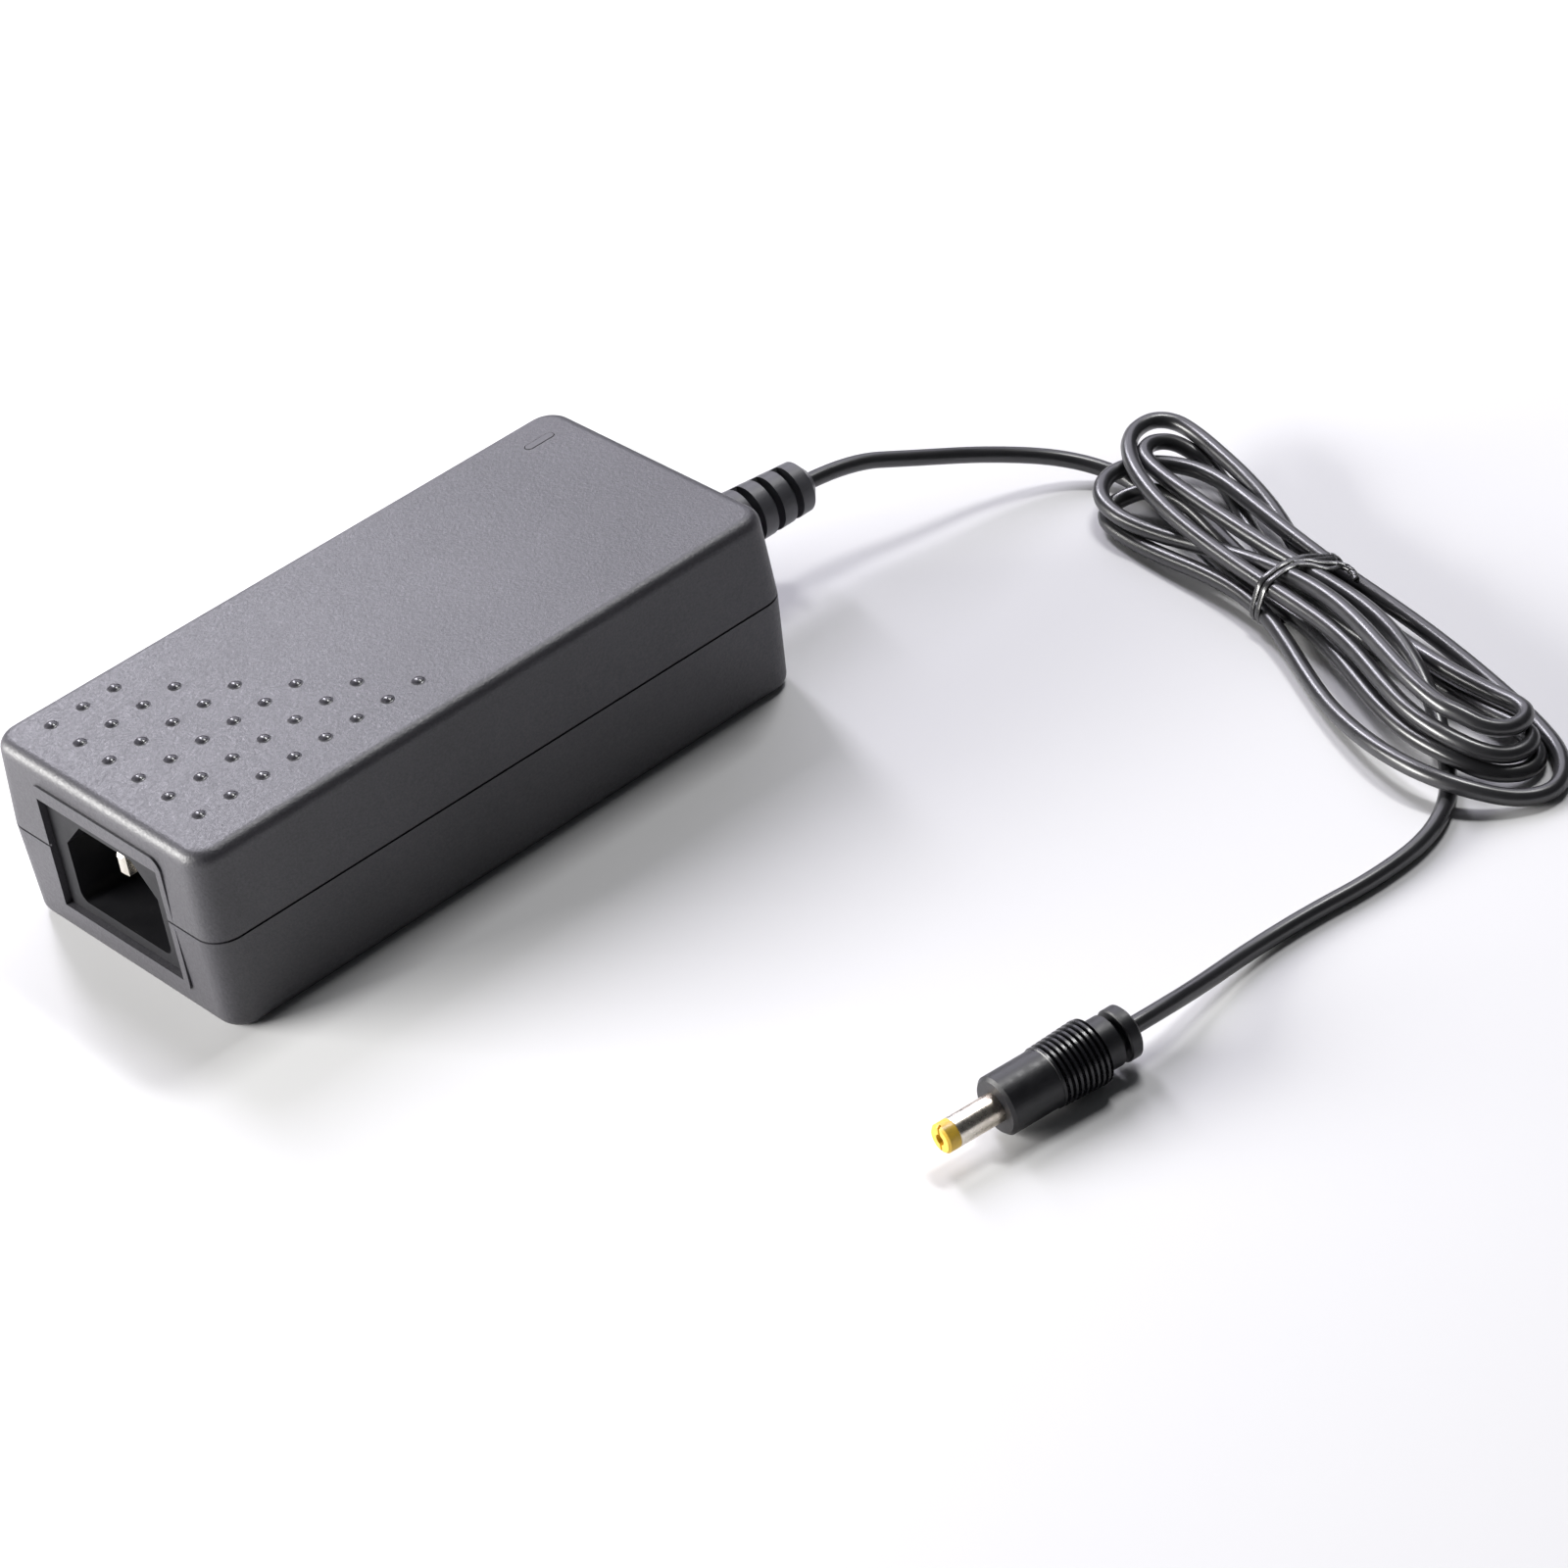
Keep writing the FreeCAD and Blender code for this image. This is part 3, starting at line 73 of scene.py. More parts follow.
cord_rad = 0.00145
exit_point = (0.080480, -0.005081, 0.017106)
lead = [
    exit_point, (0.092469, -0.005471, 0.016767), (0.1045, -0.0102, 0.0129),
    (0.1170, -0.0138, 0.0084), (0.1276, -0.0204, 0.0046), (0.13227, -0.02914, 0.00224),
]
hank = [
    (0.13167, -0.03847, 0.00145), (0.12849, -0.04739, 0.00147), (0.12561, -0.05611, 0.00150), (0.12309, -0.06469, 0.00154),
    (0.12083, -0.07329, 0.00164), (0.11874, -0.08188, 0.00217), (0.11632, -0.09032, 0.00309), (0.11302, -0.09852, 0.00411),
    (0.10920, -0.10668, 0.00482), (0.10553, -0.11505, 0.00489), (0.10298, -0.12368, 0.00465), (0.10250, -0.13220, 0.00456),
    (0.10454, -0.13928, 0.00258), (0.10908, -0.14306, 0.00181), (0.11327, -0.14207, 0.00174), (0.11575, -0.13845, 0.00166),
    (0.11752, -0.13293, 0.00162), (0.11932, -0.12563, 0.00160), (0.12073, -0.11705, 0.00158), (0.12168, -0.10805, 0.00157),
    (0.12210, -0.09899, 0.00157), (0.12226, -0.09000, 0.00166), (0.12258, -0.08107, 0.00204), (0.12416, -0.07226, 0.00159),
    (0.12675, -0.06356, 0.00160), (0.12924, -0.05503, 0.00221), (0.13082, -0.04707, 0.00397), (0.12939, -0.04074, 0.00473),
    (0.12660, -0.03690, 0.00320), (0.12340, -0.03610, 0.00245), (0.12070, -0.03790, 0.00215), (0.11960, -0.04190, 0.00198),
    (0.11863, -0.04881, 0.00208), (0.11812, -0.05595, 0.00263), (0.11778, -0.06443, 0.00340), (0.11693, -0.07326, 0.00376),
    (0.11477, -0.08185, 0.00347), (0.11120, -0.08997, 0.00289), (0.10711, -0.09791, 0.00254), (0.10321, -0.10599, 0.00268),
    (0.09990, -0.11442, 0.00350), (0.09734, -0.12317, 0.00448), (0.09636, -0.13193, 0.00489), (0.09812, -0.14001, 0.00400),
    (0.10260, -0.14635, 0.00205), (0.10750, -0.14936, 0.00157), (0.11224, -0.14792, 0.00156), (0.11651, -0.14334, 0.00154),
    (0.11972, -0.13634, 0.00153), (0.12224, -0.12797, 0.00182), (0.12439, -0.11916, 0.00239), (0.12620, -0.11029, 0.00304),
    (0.12756, -0.10146, 0.00379), (0.12827, -0.09269, 0.00491), (0.12879, -0.08400, 0.00616), (0.13028, -0.07539, 0.00668),
    (0.13257, -0.06672, 0.00650), (0.13530, -0.05793, 0.00579), (0.13797, -0.04913, 0.00503), (0.13816, -0.04055, 0.00467),
    (0.13440, -0.03340, 0.00473), (0.12792, -0.03157, 0.00509), (0.12196, -0.03540, 0.00520), (0.11953, -0.04276, 0.00493),
    (0.12010, -0.05154, 0.00475), (0.12156, -0.06057, 0.00507), (0.12215, -0.06939, 0.00608), (0.12123, -0.07802, 0.00764),
    (0.11958, -0.08661, 0.00931), (0.11729, -0.09518, 0.01054), (0.11432, -0.10370, 0.01113), (0.11091, -0.11212, 0.01124),
    (0.10786, -0.12040, 0.01095), (0.10615, -0.12826, 0.01024), (0.10690, -0.13230, 0.00960), (0.10775, -0.13600, 0.00840),
    (0.11045, -0.13880, 0.00760), (0.11425, -0.13875, 0.00725), (0.11695, -0.13600, 0.00690), (0.11748, -0.12850, 0.00620),
    (0.11773, -0.12033, 0.00637), (0.11921, -0.11211, 0.00590), (0.12144, -0.10353, 0.00496), (0.12367, -0.09480, 0.00412),
    (0.12582, -0.08617, 0.00351), (0.12896, -0.07797, 0.00343), (0.13306, -0.07015, 0.00387), (0.13696, -0.06215, 0.00487),
    (0.13974, -0.05366, 0.00599), (0.14198, -0.04525, 0.00665), (0.14389, -0.03793, 0.00689), (0.14418, -0.03261, 0.00752),
    (0.14163, -0.02962, 0.00823), (0.13728, -0.02931, 0.00824), (0.13276, -0.03228, 0.00845), (0.12852, -0.03776, 0.00865),
    (0.12481, -0.04522, 0.00855), (0.12194, -0.05359, 0.00832), (0.12002, -0.06241, 0.00787), (0.11852, -0.07130, 0.00751),
    (0.11713, -0.08017, 0.00743), (0.11568, -0.08900, 0.00762), (0.11381, -0.09773, 0.00796), (0.11097, -0.10627, 0.00815),
    (0.10741, -0.11459, 0.00805), (0.10448, -0.12281, 0.00775), (0.10360, -0.13073, 0.00731), (0.10490, -0.13720, 0.00590),
    (0.10760, -0.14040, 0.00475), (0.11130, -0.14160, 0.00455), (0.11440, -0.13980, 0.00458), (0.11540, -0.13560, 0.00416),
    (0.11580, -0.13094, 0.00368), (0.11689, -0.12437, 0.00292), (0.11801, -0.11627, 0.00240), (0.11891, -0.10746, 0.00250),
    (0.11967, -0.09843, 0.00330), (0.12077, -0.08956, 0.00447), (0.12305, -0.08108, 0.00504), (0.12653, -0.07301, 0.00367),
    (0.13061, -0.06505, 0.00215), (0.13504, -0.05715, 0.00161), (0.13924, -0.04954, 0.00176), (0.14208, -0.04281, 0.00321),
    (0.14190, -0.03830, 0.00475), (0.14040, -0.03490, 0.00640), (0.13690, -0.03335, 0.00735), (0.13350, -0.03490, 0.00748),
    (0.13110, -0.04010, 0.00762), (0.12903, -0.04774, 0.00805), (0.12741, -0.05607, 0.00820), (0.12584, -0.06488, 0.00828),
    (0.12454, -0.07382, 0.00817), (0.12365, -0.08276, 0.00804), (0.12254, -0.09165, 0.00822), (0.12064, -0.10039, 0.00846),
    (0.11792, -0.10880, 0.00796), (0.11440, -0.11663, 0.00626), (0.10991, -0.12382, 0.00370), (0.10430, -0.13075, 0.00145)
]
tail = [
    (0.09717, -0.13756, 0.00145), (0.0875, -0.1420, 0.00145), (0.0750, -0.1422, 0.00145),
    (0.0625, -0.1402, 0.00145), (0.0505, -0.1395, 0.0017), (0.0385, -0.1409, 0.0033),
    (0.02828, -0.14223, 0.0054), (0.019726, -0.141335, 0.0054),
]


def link(name, data):
    obj = bpy.data.objects.new(name, data)
    bpy.context.scene.collection.objects.link(obj)
    return obj


def cord_curve(name, points, radius):
    data = bpy.data.curves.new(name, "CURVE")
    data.dimensions = "3D"
    data.resolution_u = 10
    spline = data.splines.new("NURBS")
    spline.points.add(len(points) - 1)
    for slot_, p in zip(spline.points, points):
        slot_.co = (p[0], p[1], p[2], 1.0)
        slot_.radius = radius
    spline.order_u = 3
    spline.use_endpoint_u = True
    data.bevel_depth = 1.0
    data.bevel_resolution = 5
    data.use_fill_caps = True
    return link(name, data)


route = lead + hank + tail
cord = cord_curve("output_cord", route, cord_rad)


def centre_line(obj):
    """The points of the curve's own line, read with its thickness off."""
    keep = obj.data.bevel_depth
    obj.data.bevel_depth = 0.0
    bpy.context.view_layer.update()
    mesh = bpy.data.meshes.new_from_object(obj)
    line = [v.co.copy() for v in mesh.vertices]
    bpy.data.meshes.remove(mesh)
    obj.data.bevel_depth = keep
    return line


cord_line = centre_line(cord)

# --------------------------------------------------------------------- tie

tie_mid = Vector((0.1199, -0.0818, 0.0))
tie_u = Vector((0.98163, -0.19081, 0.0))
tie_v = Vector((0.19081, 0.98163, 0.0))
tie_up = Vector((0.0, 0.0, 1.0))


def strands_at(v):
    """Where the cord's passes cross the plane v, as (u, z)."""
    found = []
    for a, b in zip(cord_line, cord_line[1:]):
        va, vb = (a - tie_mid).dot(tie_v) - v, (b - tie_mid).dot(tie_v) - v
        if va * vb < 0 and abs((a - tie_mid).dot(tie_u)) < 0.015:
            p = a.lerp(b, va / (va - vb))
            found.append(((p - tie_mid).dot(tie_u), p.z))
    return found


def hull(points):
    points = sorted(points)

    def half(run):
        out = []
        for p in run:
            while len(out) > 1 and (out[-1][0] - out[-2][0]) * (p[1] - out[-2][1]) - (
                out[-1][1] - out[-2][1]
            ) * (p[0] - out[-2][0]) <= 0:
                out.pop()
            out.append(p)
        return out[:-1]

    return half(points) + half(points[::-1])


def loop_round(v, gap, count=96):
    """A closed loop in the plane v that lies gap off the bundle, its points evenly spaced."""
    ring = []
    for u, z in strands_at(v):
        for k in range(32):
            t = 2 * math.pi * k / 32
            r = cord_rad + gap
            ring.append((u + r * math.cos(t), max(0.00028, z + r * math.sin(t))))
    ring = hull(ring)
    ring.append(ring[0])
    runs = [math.dist(a, b) for a, b in zip(ring, ring[1:])]
    total, out, i, done = sum(runs), [], 0, 0.0
    for k in range(count):
        s = total * k / count
        while done + runs[i] < s:
            done += runs[i]
            i += 1
        f = (s - done) / runs[i]
        out.append((ring[i][0] + f * (ring[i + 1][0] - ring[i][0]), ring[i][1] + f * (ring[i + 1][1] - ring[i][1])))
    for _ in range(8):
        out = [
            tuple((out[k - 1][j] + 2 * out[k][j] + out[(k + 1) % count][j]) / 4 for j in (0, 1))
            for k in range(count)
        ]
    return out


def sweep(bm, path, sides, half_wide, half_thick, rib=0.0, sections=20):
    """A flat strip with round edges along path. sides gives the strip's width direction at each point."""
    rings = []
    for i, p in enumerate(path):
        ahead = (path[min(i + 1, len(path) - 1)] - path[max(i - 1, 0)]).normalized()
        wide = sides[i] - ahead * sides[i].dot(ahead)
        wide.normalize()
        thick = ahead.cross(wide)
        ring = []
        for k in range(sections):
            t = 2 * math.pi * k / sections
            c, s = math.cos(t), math.sin(t)
            w = half_wide * math.copysign(abs(c) ** 0.75, c)
            h = half_thick * math.copysign(abs(s) ** 0.6, s)
            h += rib * math.copysign(math.exp(-((w / (0.30 * half_wide)) ** 2)), s) if abs(s) > 1e-6 else 0.0
            ring.append(bm.verts.new(p + wide * w + thick * h))
        rings.append(ring)
    for a, b in zip(rings, rings[1:]):
        for k in range(sections):
            bm.faces.new((a[k], a[(k + 1) % sections], b[(k + 1) % sections], b[k]))
    bm.faces.new(rings[0][::-1])
    bm.faces.new(rings[-1])


def curve_through(points, steps=8):
    """Smooth points through the given ones."""
    pts = [points[0] * 2 - points[1]] + list(points) + [points[-1] * 2 - points[-2]]
    out = []
    for a, b, c, d in zip(pts, pts[1:], pts[2:], pts[3:]):
        for k in range(steps):
            t = k / steps
            out.append(0.5 * (2 * b + (c - a) * t + (2 * a - 5 * b + 4 * c - d) * t * t + (3 * b - a - 3 * c + d) * t**3))
    out.append(points[-1].copy())
    return out


def at(u, v, z):
    return tie_mid + tie_u * u + tie_v * v + tie_up * z


tie_bm = bmesh.new()
strip_wide, strip_thick = 0.00060, 0.00019
ring_in = loop_round(0.0003, strip_thick + 0.00012)
count = len(ring_in)
# The loop starts where the strip leaves it, at the upper right shoulder.
start = max(range(count), key=lambda k: 0.55 * ring_in[k][0] + ring_in[k][1])
ring_in = ring_in[start:] + ring_in[:start]
path, wide = [], []
turns = 2
for k in range(turns * count + 1):
    f = k / (turns * count)
    u, z = ring_in[k % count]
    # Both turns lie side by side, a hair apart, and step over once at the right shoulder.
    step = min(1.0, max(0.0, (f - 0.43) / 0.14))
    v = 0.0003 + 0.00076 * (2.0 * step * step * (3.0 - 2.0 * step) - 1.0)
    path.append(at(u, v + 0.00022 * math.sin(2 * math.pi * (k % count) / count), z))
    wide.append(tie_v.copy())
sweep(tie_bm, path, wide, strip_wide, strip_thick, rib=0.00010)

# The two ends leave the bundle and are twisted together.
ends = {
    "a": [at(0.0022, 0.0006, 0.00985), at(0.0042, -0.0006, 0.00985), at(0.0058, -0.0020, 0.0094), at(0.0075, -0.0030, 0.0090), at(0.0082, -0.0040, 0.0088)],
    "b": [at(0.0020, -0.0004, 0.0099), at(0.0036, -0.0016, 0.0098), at(0.0048, -0.0032, 0.0095), at(0.0062, -0.0042, 0.0091), at(0.0080, -0.0044, 0.0088)],
}
for points in ends.values():
    run = curve_through(points)
    sweep(tie_bm, run, [tie_v + tie_up * 0.25] * len(run), strip_wide * 0.85, strip_thick, rib=0.00008)
twist_axis = curve_through([at(0.0078, -0.0038, 0.0089), at(0.0086, -0.0052, 0.0086), at(0.0086, -0.0069, 0.0083), at(0.0079, -0.0086, 0.0082)], 18)
for half_turn in (0.0, math.pi):
    run, sides, gone = [], [], 0.0
    for i, p in enumerate(twist_axis):
        if i:
            gone += (p - twist_axis[i - 1]).length
        ahead = (twist_axis[min(i + 1, len(twist_axis) - 1)] - twist_axis[max(i - 1, 0)]).normalized()
        side = ahead.cross(tie_up).normalized()
        over = side.cross(ahead)
        t = 2 * math.pi * gone / 0.0030 + half_turn
        arm = side * math.cos(t) + over * math.sin(t)
        run.append(p + arm * 0.00036)
        sides.append(ahead.cross(arm))
    sweep(tie_bm, run, sides, strip_wide * 0.80, strip_thick * 1.1, rib=0.00008)
tie_mesh = bpy.data.meshes.new("hank_tie")
bmesh.ops.recalc_face_normals(tie_bm, faces=tie_bm.faces)
tie_bm.to_mesh(tie_mesh)
tie_bm.free()
for face in tie_mesh.polygons:
    face.use_smooth = True
tie = link("hank_tie", tie_mesh)

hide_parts("cord_lead", "cord_hank", "cord_tail")
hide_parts("wire_tie")
for piece in (cord, tie):
    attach(piece, "root")

# --------------------------------------------------------------- materials


class Nodes:
    """A material's node tree, with a short way to add and join nodes."""

    def __init__(self, name):
        self.mat = bpy.data.materials.new(name)
        self.mat.use_nodes = True
        self.tree = self.mat.node_tree
        self.bsdf = next(n for n in self.tree.nodes if n.type == "BSDF_PRINCIPLED")
        self.coord = self.add("ShaderNodeTexCoord").outputs["Object"]

    def add(self, kind, **values):
        node = self.tree.nodes.new(kind)
        for key, value in values.items():
            setattr(node, key, value)
        return node

    def join(self, a, b):
        self.tree.links.new(a, b)

    def noise(self, size, detail=3.0, rough=0.5, stretch=None):
        """Noise with features of about size metres, drawn out by stretch."""
        node = self.add("ShaderNodeTexNoise")
        node.inputs["Scale"].default_value = 1.0 / size
        node.inputs["Detail"].default_value = detail
        node.inputs["Roughness"].default_value = rough
        source = self.coord
        if stretch:
            mapping = self.add("ShaderNodeMapping")
            mapping.inputs["Scale"].default_value = stretch
            self.join(source, mapping.inputs["Vector"])
            source = mapping.outputs["Vector"]
        self.join(source, node.inputs["Vector"])
        return node.outputs["Fac"]

    def ramp(self, fac, stops):
        node = self.add("ShaderNodeValToRGB")
        ends = node.color_ramp.elements
        while len(ends) < len(stops):
            ends.new(0.5)
        for end, (at_, colour) in zip(ends, stops):
            end.position = at_
            end.color = (*colour, 1.0)
        self.join(fac, node.inputs["Fac"])
        return node.outputs["Color"]

    def range(self, value, low, high, to_low, to_high):
        node = self.add("ShaderNodeMapRange")
        for key, number in (("From Min", low), ("From Max", high), ("To Min", to_low), ("To Max", to_high)):
            node.inputs[key].default_value = number
        self.join(value, node.inputs["Value"])
        return node.outputs["Result"]

    def math(self, kind, a, b=None, number=None):
        node = self.add("ShaderNodeMath", operation=kind)
        self.join(a, node.inputs[0])
        if b is not None:
            self.join(b, node.inputs[1])
        if number is not None:
            node.inputs[1].default_value = number
        return node.outputs[0]

    def bump(self, height, depth, strength=1.0):
        """Relief of depth metres from height 0 to 1, on top of any made before."""
        node = self.add("ShaderNodeBump")
        node.inputs["Strength"].default_value = strength
        node.inputs["Distance"].default_value = depth
        self.join(height, node.inputs["Height"])
        if self.bsdf.inputs["Normal"].is_linked:
            before = self.bsdf.inputs["Normal"].links[0].from_socket
            self.join(before, node.inputs["Normal"])
        self.join(node.outputs["Normal"], self.bsdf.inputs["Normal"])


def shade(colour, factor):
    return tuple(min(1.0, c * factor) for c in colour)


def surface(
    name, colour, rough, metallic=0.0, spread=0.12, patch=0.012, rough_spread=0.06,
    grain=0.0003, depth=0.00001, stretch=None, spec=0.5, coat=0.0, through=0.0, ior=1.5, sheen=0.0,
):
    """A finish whose colour and roughness wander a little, with a fine relief."""
    n = Nodes(name)
    wander = n.noise(patch, 4.0, 0.55)
    n.join(n.ramp(wander, [(0.30, shade(colour, 1 - spread)), (0.70, shade(colour, 1 + spread))]), n.bsdf.inputs["Base Color"])
    n.join(n.range(n.noise(patch * 0.35, 3.0), 0.3, 0.7, rough - rough_spread, rough + rough_spread), n.bsdf.inputs["Roughness"])
    if depth:
        n.bump(n.noise(grain, 2.0, 0.5, stretch), depth)
    n.bsdf.inputs["Metallic"].default_value = metallic
    n.bsdf.inputs["Specular IOR Level"].default_value = spec
    n.bsdf.inputs["IOR"].default_value = ior
    n.bsdf.inputs["Coat Weight"].default_value = coat
    n.bsdf.inputs["Transmission Weight"].default_value = through
    n.bsdf.inputs["Sheen Weight"].default_value = sheen
    return n


def case_material():
    """Charcoal moulded plastic with a spark-eroded grain; the raised dots are polished."""
    n = Nodes("case_plastic")
    wander = n.noise(0.030, 3.0, 0.5)
    speck = n.noise(0.00042, 2.0, 0.6)
    both = n.math("ADD", n.math("MULTIPLY", wander, number=0.45), n.math("MULTIPLY", speck, number=0.55))
    n.join(n.ramp(both, [(0.36, (0.032, 0.031, 0.037)), (0.64, (0.056, 0.054, 0.063))]), n.bsdf.inputs["Base Color"])
    place = n.add("ShaderNodeSeparateXYZ")
    n.join(n.coord, place.inputs["Vector"])
    dot = n.range(place.outputs["Z"], 0.03384, 0.03396, 0.0, 1.0)
    plain = n.range(dot, 0.0, 1.0, 1.0, 0.0)
    grain_rough = n.range(n.noise(0.00060, 2.0), 0.3, 0.7, 0.40, 0.52)
    rough = n.math("SUBTRACT", grain_rough, n.math("MULTIPLY", dot, number=0.24))
    n.join(rough, n.bsdf.inputs["Roughness"])
    fine = n.noise(0.00040, 3.0, 0.55)
    coarse = n.noise(0.00085, 1.0, 0.5)
    relief = n.math("ADD", n.math("MULTIPLY", fine, number=0.7), n.math("MULTIPLY", coarse, number=0.3))
    n.bump(n.math("MULTIPLY", relief, plain), 0.000085)
    n.bsdf.inputs["Specular IOR Level"].default_value = 0.66
    return n.mat


def cord_material():
    """Glossy soft jacket: faint long unevenness and fine dust-dull patches."""
    n = Nodes("cord_pvc")
    n.join(n.ramp(n.noise(0.009, 3.0), [(0.3, (0.018, 0.018, 0.020)), (0.7, (0.029, 0.029, 0.032))]), n.bsdf.inputs["Base Color"])
    n.join(n.range(n.noise(0.004, 4.0, 0.6), 0.3, 0.7, 0.27, 0.35), n.bsdf.inputs["Roughness"])
    n.bump(n.noise(0.0060, 2.0), 0.000012)
    n.bsdf.inputs["Specular IOR Level"].default_value = 0.9
    return n.mat


def boot_material():
    n = Nodes("boot_pvc")
    n.join(n.ramp(n.noise(0.006, 3.0), [(0.3, (0.058, 0.058, 0.065)), (0.7, (0.082, 0.082, 0.091))]), n.bsdf.inputs["Base Color"])
    n.join(n.range(n.noise(0.0015, 3.0), 0.3, 0.7, 0.34, 0.46), n.bsdf.inputs["Roughness"])
    n.bsdf.inputs["Specular IOR Level"].default_value = 0.75
    n.bump(n.noise(0.00035, 2.0), 0.000014)
    return n.mat


def plug_material():
    """Satin elastomer: finely grained at the nose, polished on the grip's ribs."""
    n = Nodes("plug_pvc")
    n.join(n.ramp(n.noise(0.005, 4.0), [(0.3, (0.008, 0.008, 0.010)), (0.7, (0.016, 0.016, 0.019))]), n.bsdf.inputs["Base Color"])
    place = n.add("ShaderNodeSeparateXYZ")
    n.join(n.coord, place.inputs["Vector"])
    on_ribs = n.math(
        "MULTIPLY",
        n.range(place.outputs["X"], 0.0068, 0.0074, 0.0, 1.0),
        n.range(place.outputs["X"], 0.0156, 0.0162, 1.0, 0.0),
    )
    base = n.range(n.noise(0.0012, 3.0), 0.3, 0.7, 0.36, 0.48)
    n.join(n.math("SUBTRACT", base, n.math("MULTIPLY", on_ribs, number=0.14)), n.bsdf.inputs["Roughness"])
    n.bump(n.noise(0.00028, 2.0), 0.000012)
    return n.mat


def nickel_material():
    """Satin nickel plate with fine lines round the barrel, warm in tone and darker and browner toward its root, the
    dark being painted shade where the barrel meets the nose.
    """
    n = Nodes("nickel")
    place = n.add("ShaderNodeSeparateXYZ")
    n.join(n.coord, place.inputs["Vector"])
    # Darker toward the barrel's root: painted shade where the barrel meets the nose, mixed with random tone.
    toward = n.range(place.outputs["X"], -0.0100, -0.0012, 0.0, 1.0)
    noise_and_root_shade = n.math("ADD", n.math("MULTIPLY", n.noise(0.0022, 3.0), number=0.5), n.math("MULTIPLY", toward, number=0.5))
    n.join(
        n.ramp(noise_and_root_shade, [(0.20, (0.78, 0.74, 0.67)), (0.62, (0.70, 0.63, 0.54)), (0.90, (0.34, 0.27, 0.23))]),
        n.bsdf.inputs["Base Color"],
    )
    n.bsdf.inputs["Metallic"].default_value = 1.0
    n.join(n.range(n.noise(0.0009, 3.0), 0.3, 0.7, 0.24, 0.34), n.bsdf.inputs["Roughness"])
    n.bump(n.noise(0.00040, 2.0, 0.5, (14.0, 1.0, 1.0)), 0.0000015)
    return n.mat


def wound(name, colour, pitch, rough=0.30, metallic=0.9, direction="X"):
    """Enamelled wire or tape laid in turns pitch apart, with painted shade in the grooves between turns."""
    n = Nodes(name)
    wave = n.add("ShaderNodeTexWave", bands_direction=direction)
    wave.inputs["Scale"].default_value = math.pi / (10.0 * pitch)
    wave.inputs["Distortion"].default_value = 0.6
    n.join(n.coord, wave.inputs["Vector"])
    turns_and_groove_shade = wave.outputs["Fac"]
    # The colour drops to a third in the grooves between turns: painted shade. The relief and roughness follow the same
    # bands.
    n.join(n.ramp(turns_and_groove_shade, [(0.0, shade(colour, 0.35)), (0.45, colour)]), n.bsdf.inputs["Base Color"])
    n.join(n.range(turns_and_groove_shade, 0.0, 1.0, rough + 0.15, rough), n.bsdf.inputs["Roughness"])
    n.bsdf.inputs["Metallic"].default_value = metallic
    n.bump(turns_and_groove_shade, pitch * 0.4)
    return n.mat


def board_material():
    """Green solder mask over copper: lighter where tracks lie under it."""
    n = Nodes("board")
    cell = n.add("ShaderNodeTexVoronoi", feature="DISTANCE_TO_EDGE")
    cell.inputs["Scale"].default_value = 230.0
    n.join(n.coord, cell.inputs["Vector"])
    track = n.range(cell.outputs["Distance"], 0.08, 0.12, 1.0, 0.0)
    n.join(n.ramp(track, [(0.0, (0.012, 0.085, 0.030)), (1.0, (0.030, 0.180, 0.060))]), n.bsdf.inputs["Base Color"])
    n.join(n.range(n.noise(0.002, 3.0), 0.3, 0.7, 0.22, 0.38), n.bsdf.inputs["Roughness"])
    n.bump(track, 0.00003)
    return n.mat


def ferrite_material():
    n = Nodes("ferrite")
    n.join(n.ramp(n.noise(0.0010, 5.0, 0.7), [(0.35, (0.045, 0.045, 0.048)), (0.65, (0.095, 0.094, 0.098))]), n.bsdf.inputs["Base Color"])
    n.join(n.range(n.noise(0.0006, 3.0), 0.3, 0.7, 0.50, 0.70), n.bsdf.inputs["Roughness"])
    n.bump(n.noise(0.00025, 3.0, 0.6), 0.00002)
    return n.mat


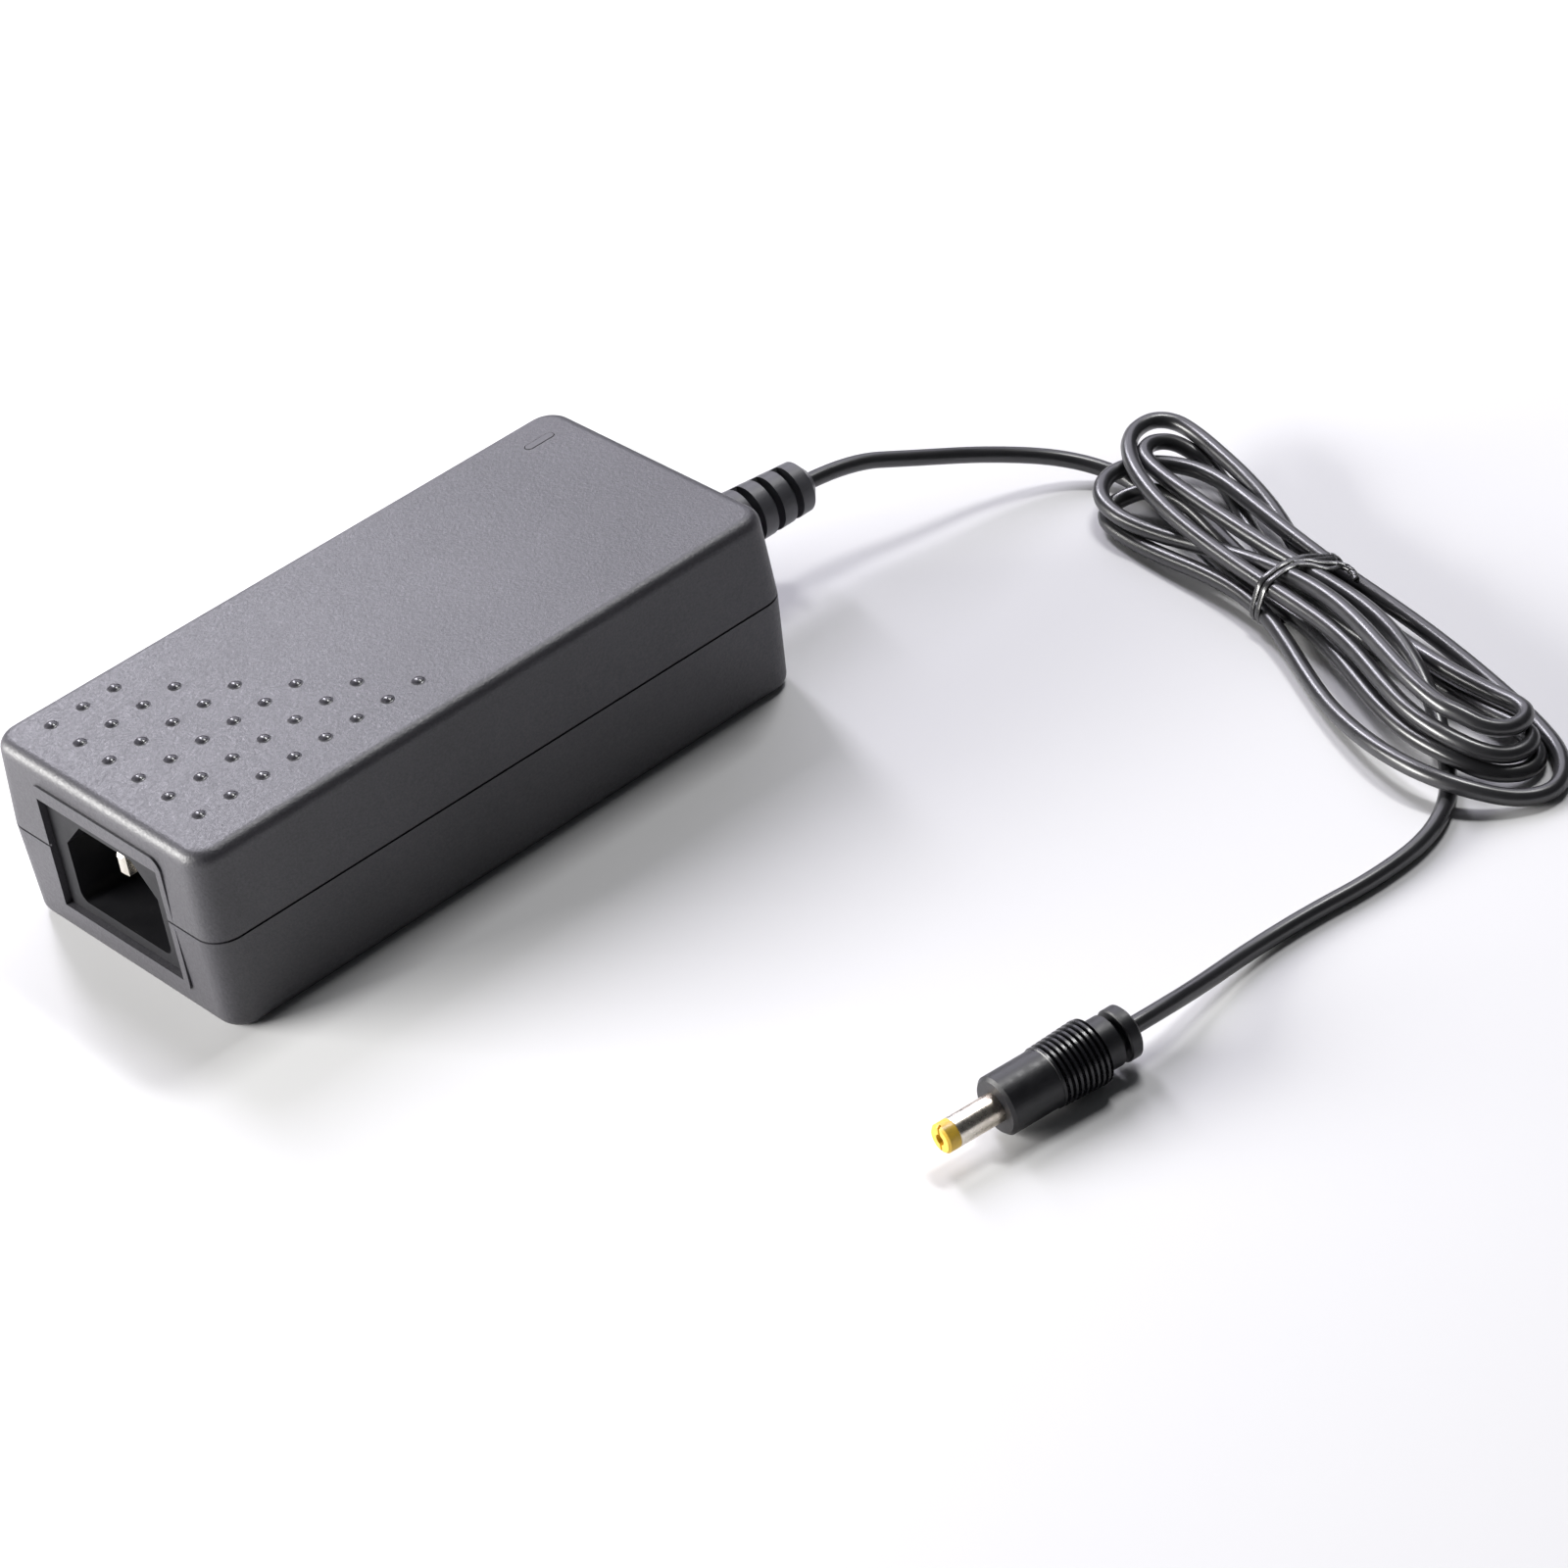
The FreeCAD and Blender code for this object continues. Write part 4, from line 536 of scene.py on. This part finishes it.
finish = {
    "case_plastic": case_material(),
    "inlet_plastic": surface("inlet_plastic", (0.010, 0.010, 0.012), 0.50, grain=0.00035, depth=0.00002, spec=0.25).mat,
    "inlet_pin": surface("inlet_pin", (0.78, 0.74, 0.66), 0.24, metallic=1.0, spread=0.06, patch=0.003, grain=0.0003, depth=0.000004, stretch=(1.0, 9.0, 9.0)).mat,
    "board": board_material(),
    "insulation_film": surface("insulation_film", (0.72, 0.71, 0.66), 0.35, through=0.25, grain=0.002, depth=0.00003).mat,
    "fuse_case": surface("fuse_case", (0.030, 0.030, 0.032), 0.40).mat,
    "disc_green": surface("disc_green", (0.05, 0.16, 0.10), 0.28, coat=0.4, grain=0.0012, depth=0.00004).mat,
    "disc_blue": surface("disc_blue", (0.05, 0.16, 0.46), 0.28, coat=0.4, grain=0.0012, depth=0.00004).mat,
    "film_box": surface("film_box", (0.70, 0.58, 0.12), 0.42, grain=0.0004, depth=0.00002).mat,
    "ferrite": ferrite_material(),
    "copper_wire": wound("copper_wire", (0.62, 0.27, 0.11), 0.0008),
    "winding_tape": wound("winding_tape", (0.68, 0.56, 0.12), 0.0032, rough=0.25, metallic=0.0, direction="Z"),
    "chip_plastic": surface("chip_plastic", (0.028, 0.028, 0.030), 0.50, grain=0.0002, depth=0.000012).mat,
    "can_sleeve": surface("can_sleeve", (0.030, 0.040, 0.100), 0.26, coat=0.3, grain=0.003, depth=0.00003, stretch=(1.0, 1.0, 3.0)).mat,
    "plate_metal": surface("plate_metal", (0.60, 0.60, 0.61), 0.36, metallic=1.0, spread=0.05, grain=0.0004, depth=0.000006, stretch=(1.0, 1.0, 16.0)).mat,
    "screw_metal": surface("screw_metal", (0.55, 0.55, 0.56), 0.30, metallic=1.0, grain=0.0003, depth=0.000006).mat,
    "wire_red": surface("wire_red", (0.50, 0.03, 0.03), 0.32, grain=0.001, depth=0.00002).mat,
    "wire_black": surface("wire_black", (0.02, 0.02, 0.02), 0.32, grain=0.001, depth=0.00002).mat,
    "wire_brown": surface("wire_brown", (0.20, 0.08, 0.03), 0.32, grain=0.001, depth=0.00002).mat,
    "wire_blue": surface("wire_blue", (0.03, 0.10, 0.42), 0.32, grain=0.001, depth=0.00002).mat,
    "wire_green": surface("wire_green", (0.05, 0.38, 0.08), 0.32, grain=0.001, depth=0.00002).mat,
    "lamp": surface("lamp", (0.25, 0.75, 0.30), 0.12, through=0.7, spread=0.05, grain=0.001, depth=0.000005).mat,
    "light_pipe": surface("light_pipe", (0.085, 0.083, 0.092), 0.36, through=0.15, spread=0.08, grain=0.0004, depth=0.00001).mat,
    "cord_pvc": cord_material(),
    "boot_pvc": boot_material(),
    "tie_plastic": surface("tie_plastic", (0.030, 0.030, 0.031), 0.26, spread=0.2, patch=0.002, grain=0.0006, depth=0.000005, spec=1.0).mat,
    "plug_pvc": plug_material(),
    "nickel": nickel_material(),
    "tip_yellow": surface("tip_yellow", (0.78, 0.50, 0.055), 0.34, spread=0.14, patch=0.0015, grain=0.0003, depth=0.00001).mat,
    "contact_metal": surface("contact_metal", (0.46, 0.26, 0.09), 0.34, metallic=1.0, patch=0.001, grain=0.0003, depth=0.000005).mat,
}

for part in frame["record"]["subparts"]:
    obj = nodes.get(part["node"])
    if obj is None:
        continue
    chosen = finish[part["material_slot"]]
    if obj.material_slots:
        for place_ in obj.material_slots:
            place_.material = chosen
    else:
        obj.data.materials.append(chosen)
cord.data.materials.append(finish["cord_pvc"])
tie.data.materials.append(finish["tie_plastic"])

# ------------------------------------------------------------ floor, light

floor_bm = bmesh.new()
bmesh.ops.create_grid(floor_bm, x_segments=8, y_segments=8, size=3.0)
floor_mesh = bpy.data.meshes.new("floor")
floor_bm.to_mesh(floor_mesh)
floor_bm.free()
floor = link("floor", floor_mesh)
floor.location = (0.3, 0.4, -0.00002)
fn = Nodes("floor_white")
fn.join(fn.ramp(fn.noise(0.6, 2.0), [(0.2, (0.73, 0.73, 0.74)), (0.8, (0.77, 0.77, 0.77))]), fn.bsdf.inputs["Base Color"])
fn.bsdf.inputs["Roughness"].default_value = 0.6
fn.bsdf.inputs["Specular IOR Level"].default_value = 0.2
floor.data.materials.append(fn.mat)


def softbox(name, toward, distance, size, radiance, aim=(0.03, -0.05, 0.02), colour=(1.0, 1.0, 1.0)):
    """A flat light of that radiance, placed along toward from aim and turned to face it."""
    data = bpy.data.lights.new(name, "AREA")
    data.shape = "RECTANGLE"
    data.size, data.size_y = size
    data.energy = radiance * math.pi * size[0] * size[1]
    data.color = colour
    obj = bpy.data.objects.new(name, data)
    bpy.context.scene.collection.objects.link(obj)
    direction = Vector(toward).normalized()
    obj.location = Vector(aim) + direction * distance
    obj.rotation_euler = direction.to_track_quat("Z", "Y").to_euler()
    return obj


softbox("back_light", (0.50, 0.64, 0.56), 1.5, (1.5, 0.9), 1.9, colour=(0.89, 0.87, 1.0))
softbox("key_light", (0.23, 0.71, 0.66), 1.5, (0.22, 0.95), 20.0, colour=(0.93, 0.91, 1.0))
softbox("left_light", (-0.76, 0.58, 0.25), 1.1, (0.80, 0.40), 27.0, colour=(1.0, 0.99, 0.97))
softbox("top_light", (0.42, 0.12, 0.90), 1.4, (0.44, 0.16), 40.0)

world = bpy.data.worlds.new("studio")
world.use_nodes = True
sky = next(n for n in world.node_tree.nodes if n.type == "BACKGROUND")
sky.inputs["Color"].default_value = (0.93, 0.95, 1.0, 1.0)
sky.inputs["Strength"].default_value = 0.05
bpy.context.scene.world = world
bpy.context.scene.view_settings.view_transform = "Standard"
bpy.context.scene.view_settings.look = "None"
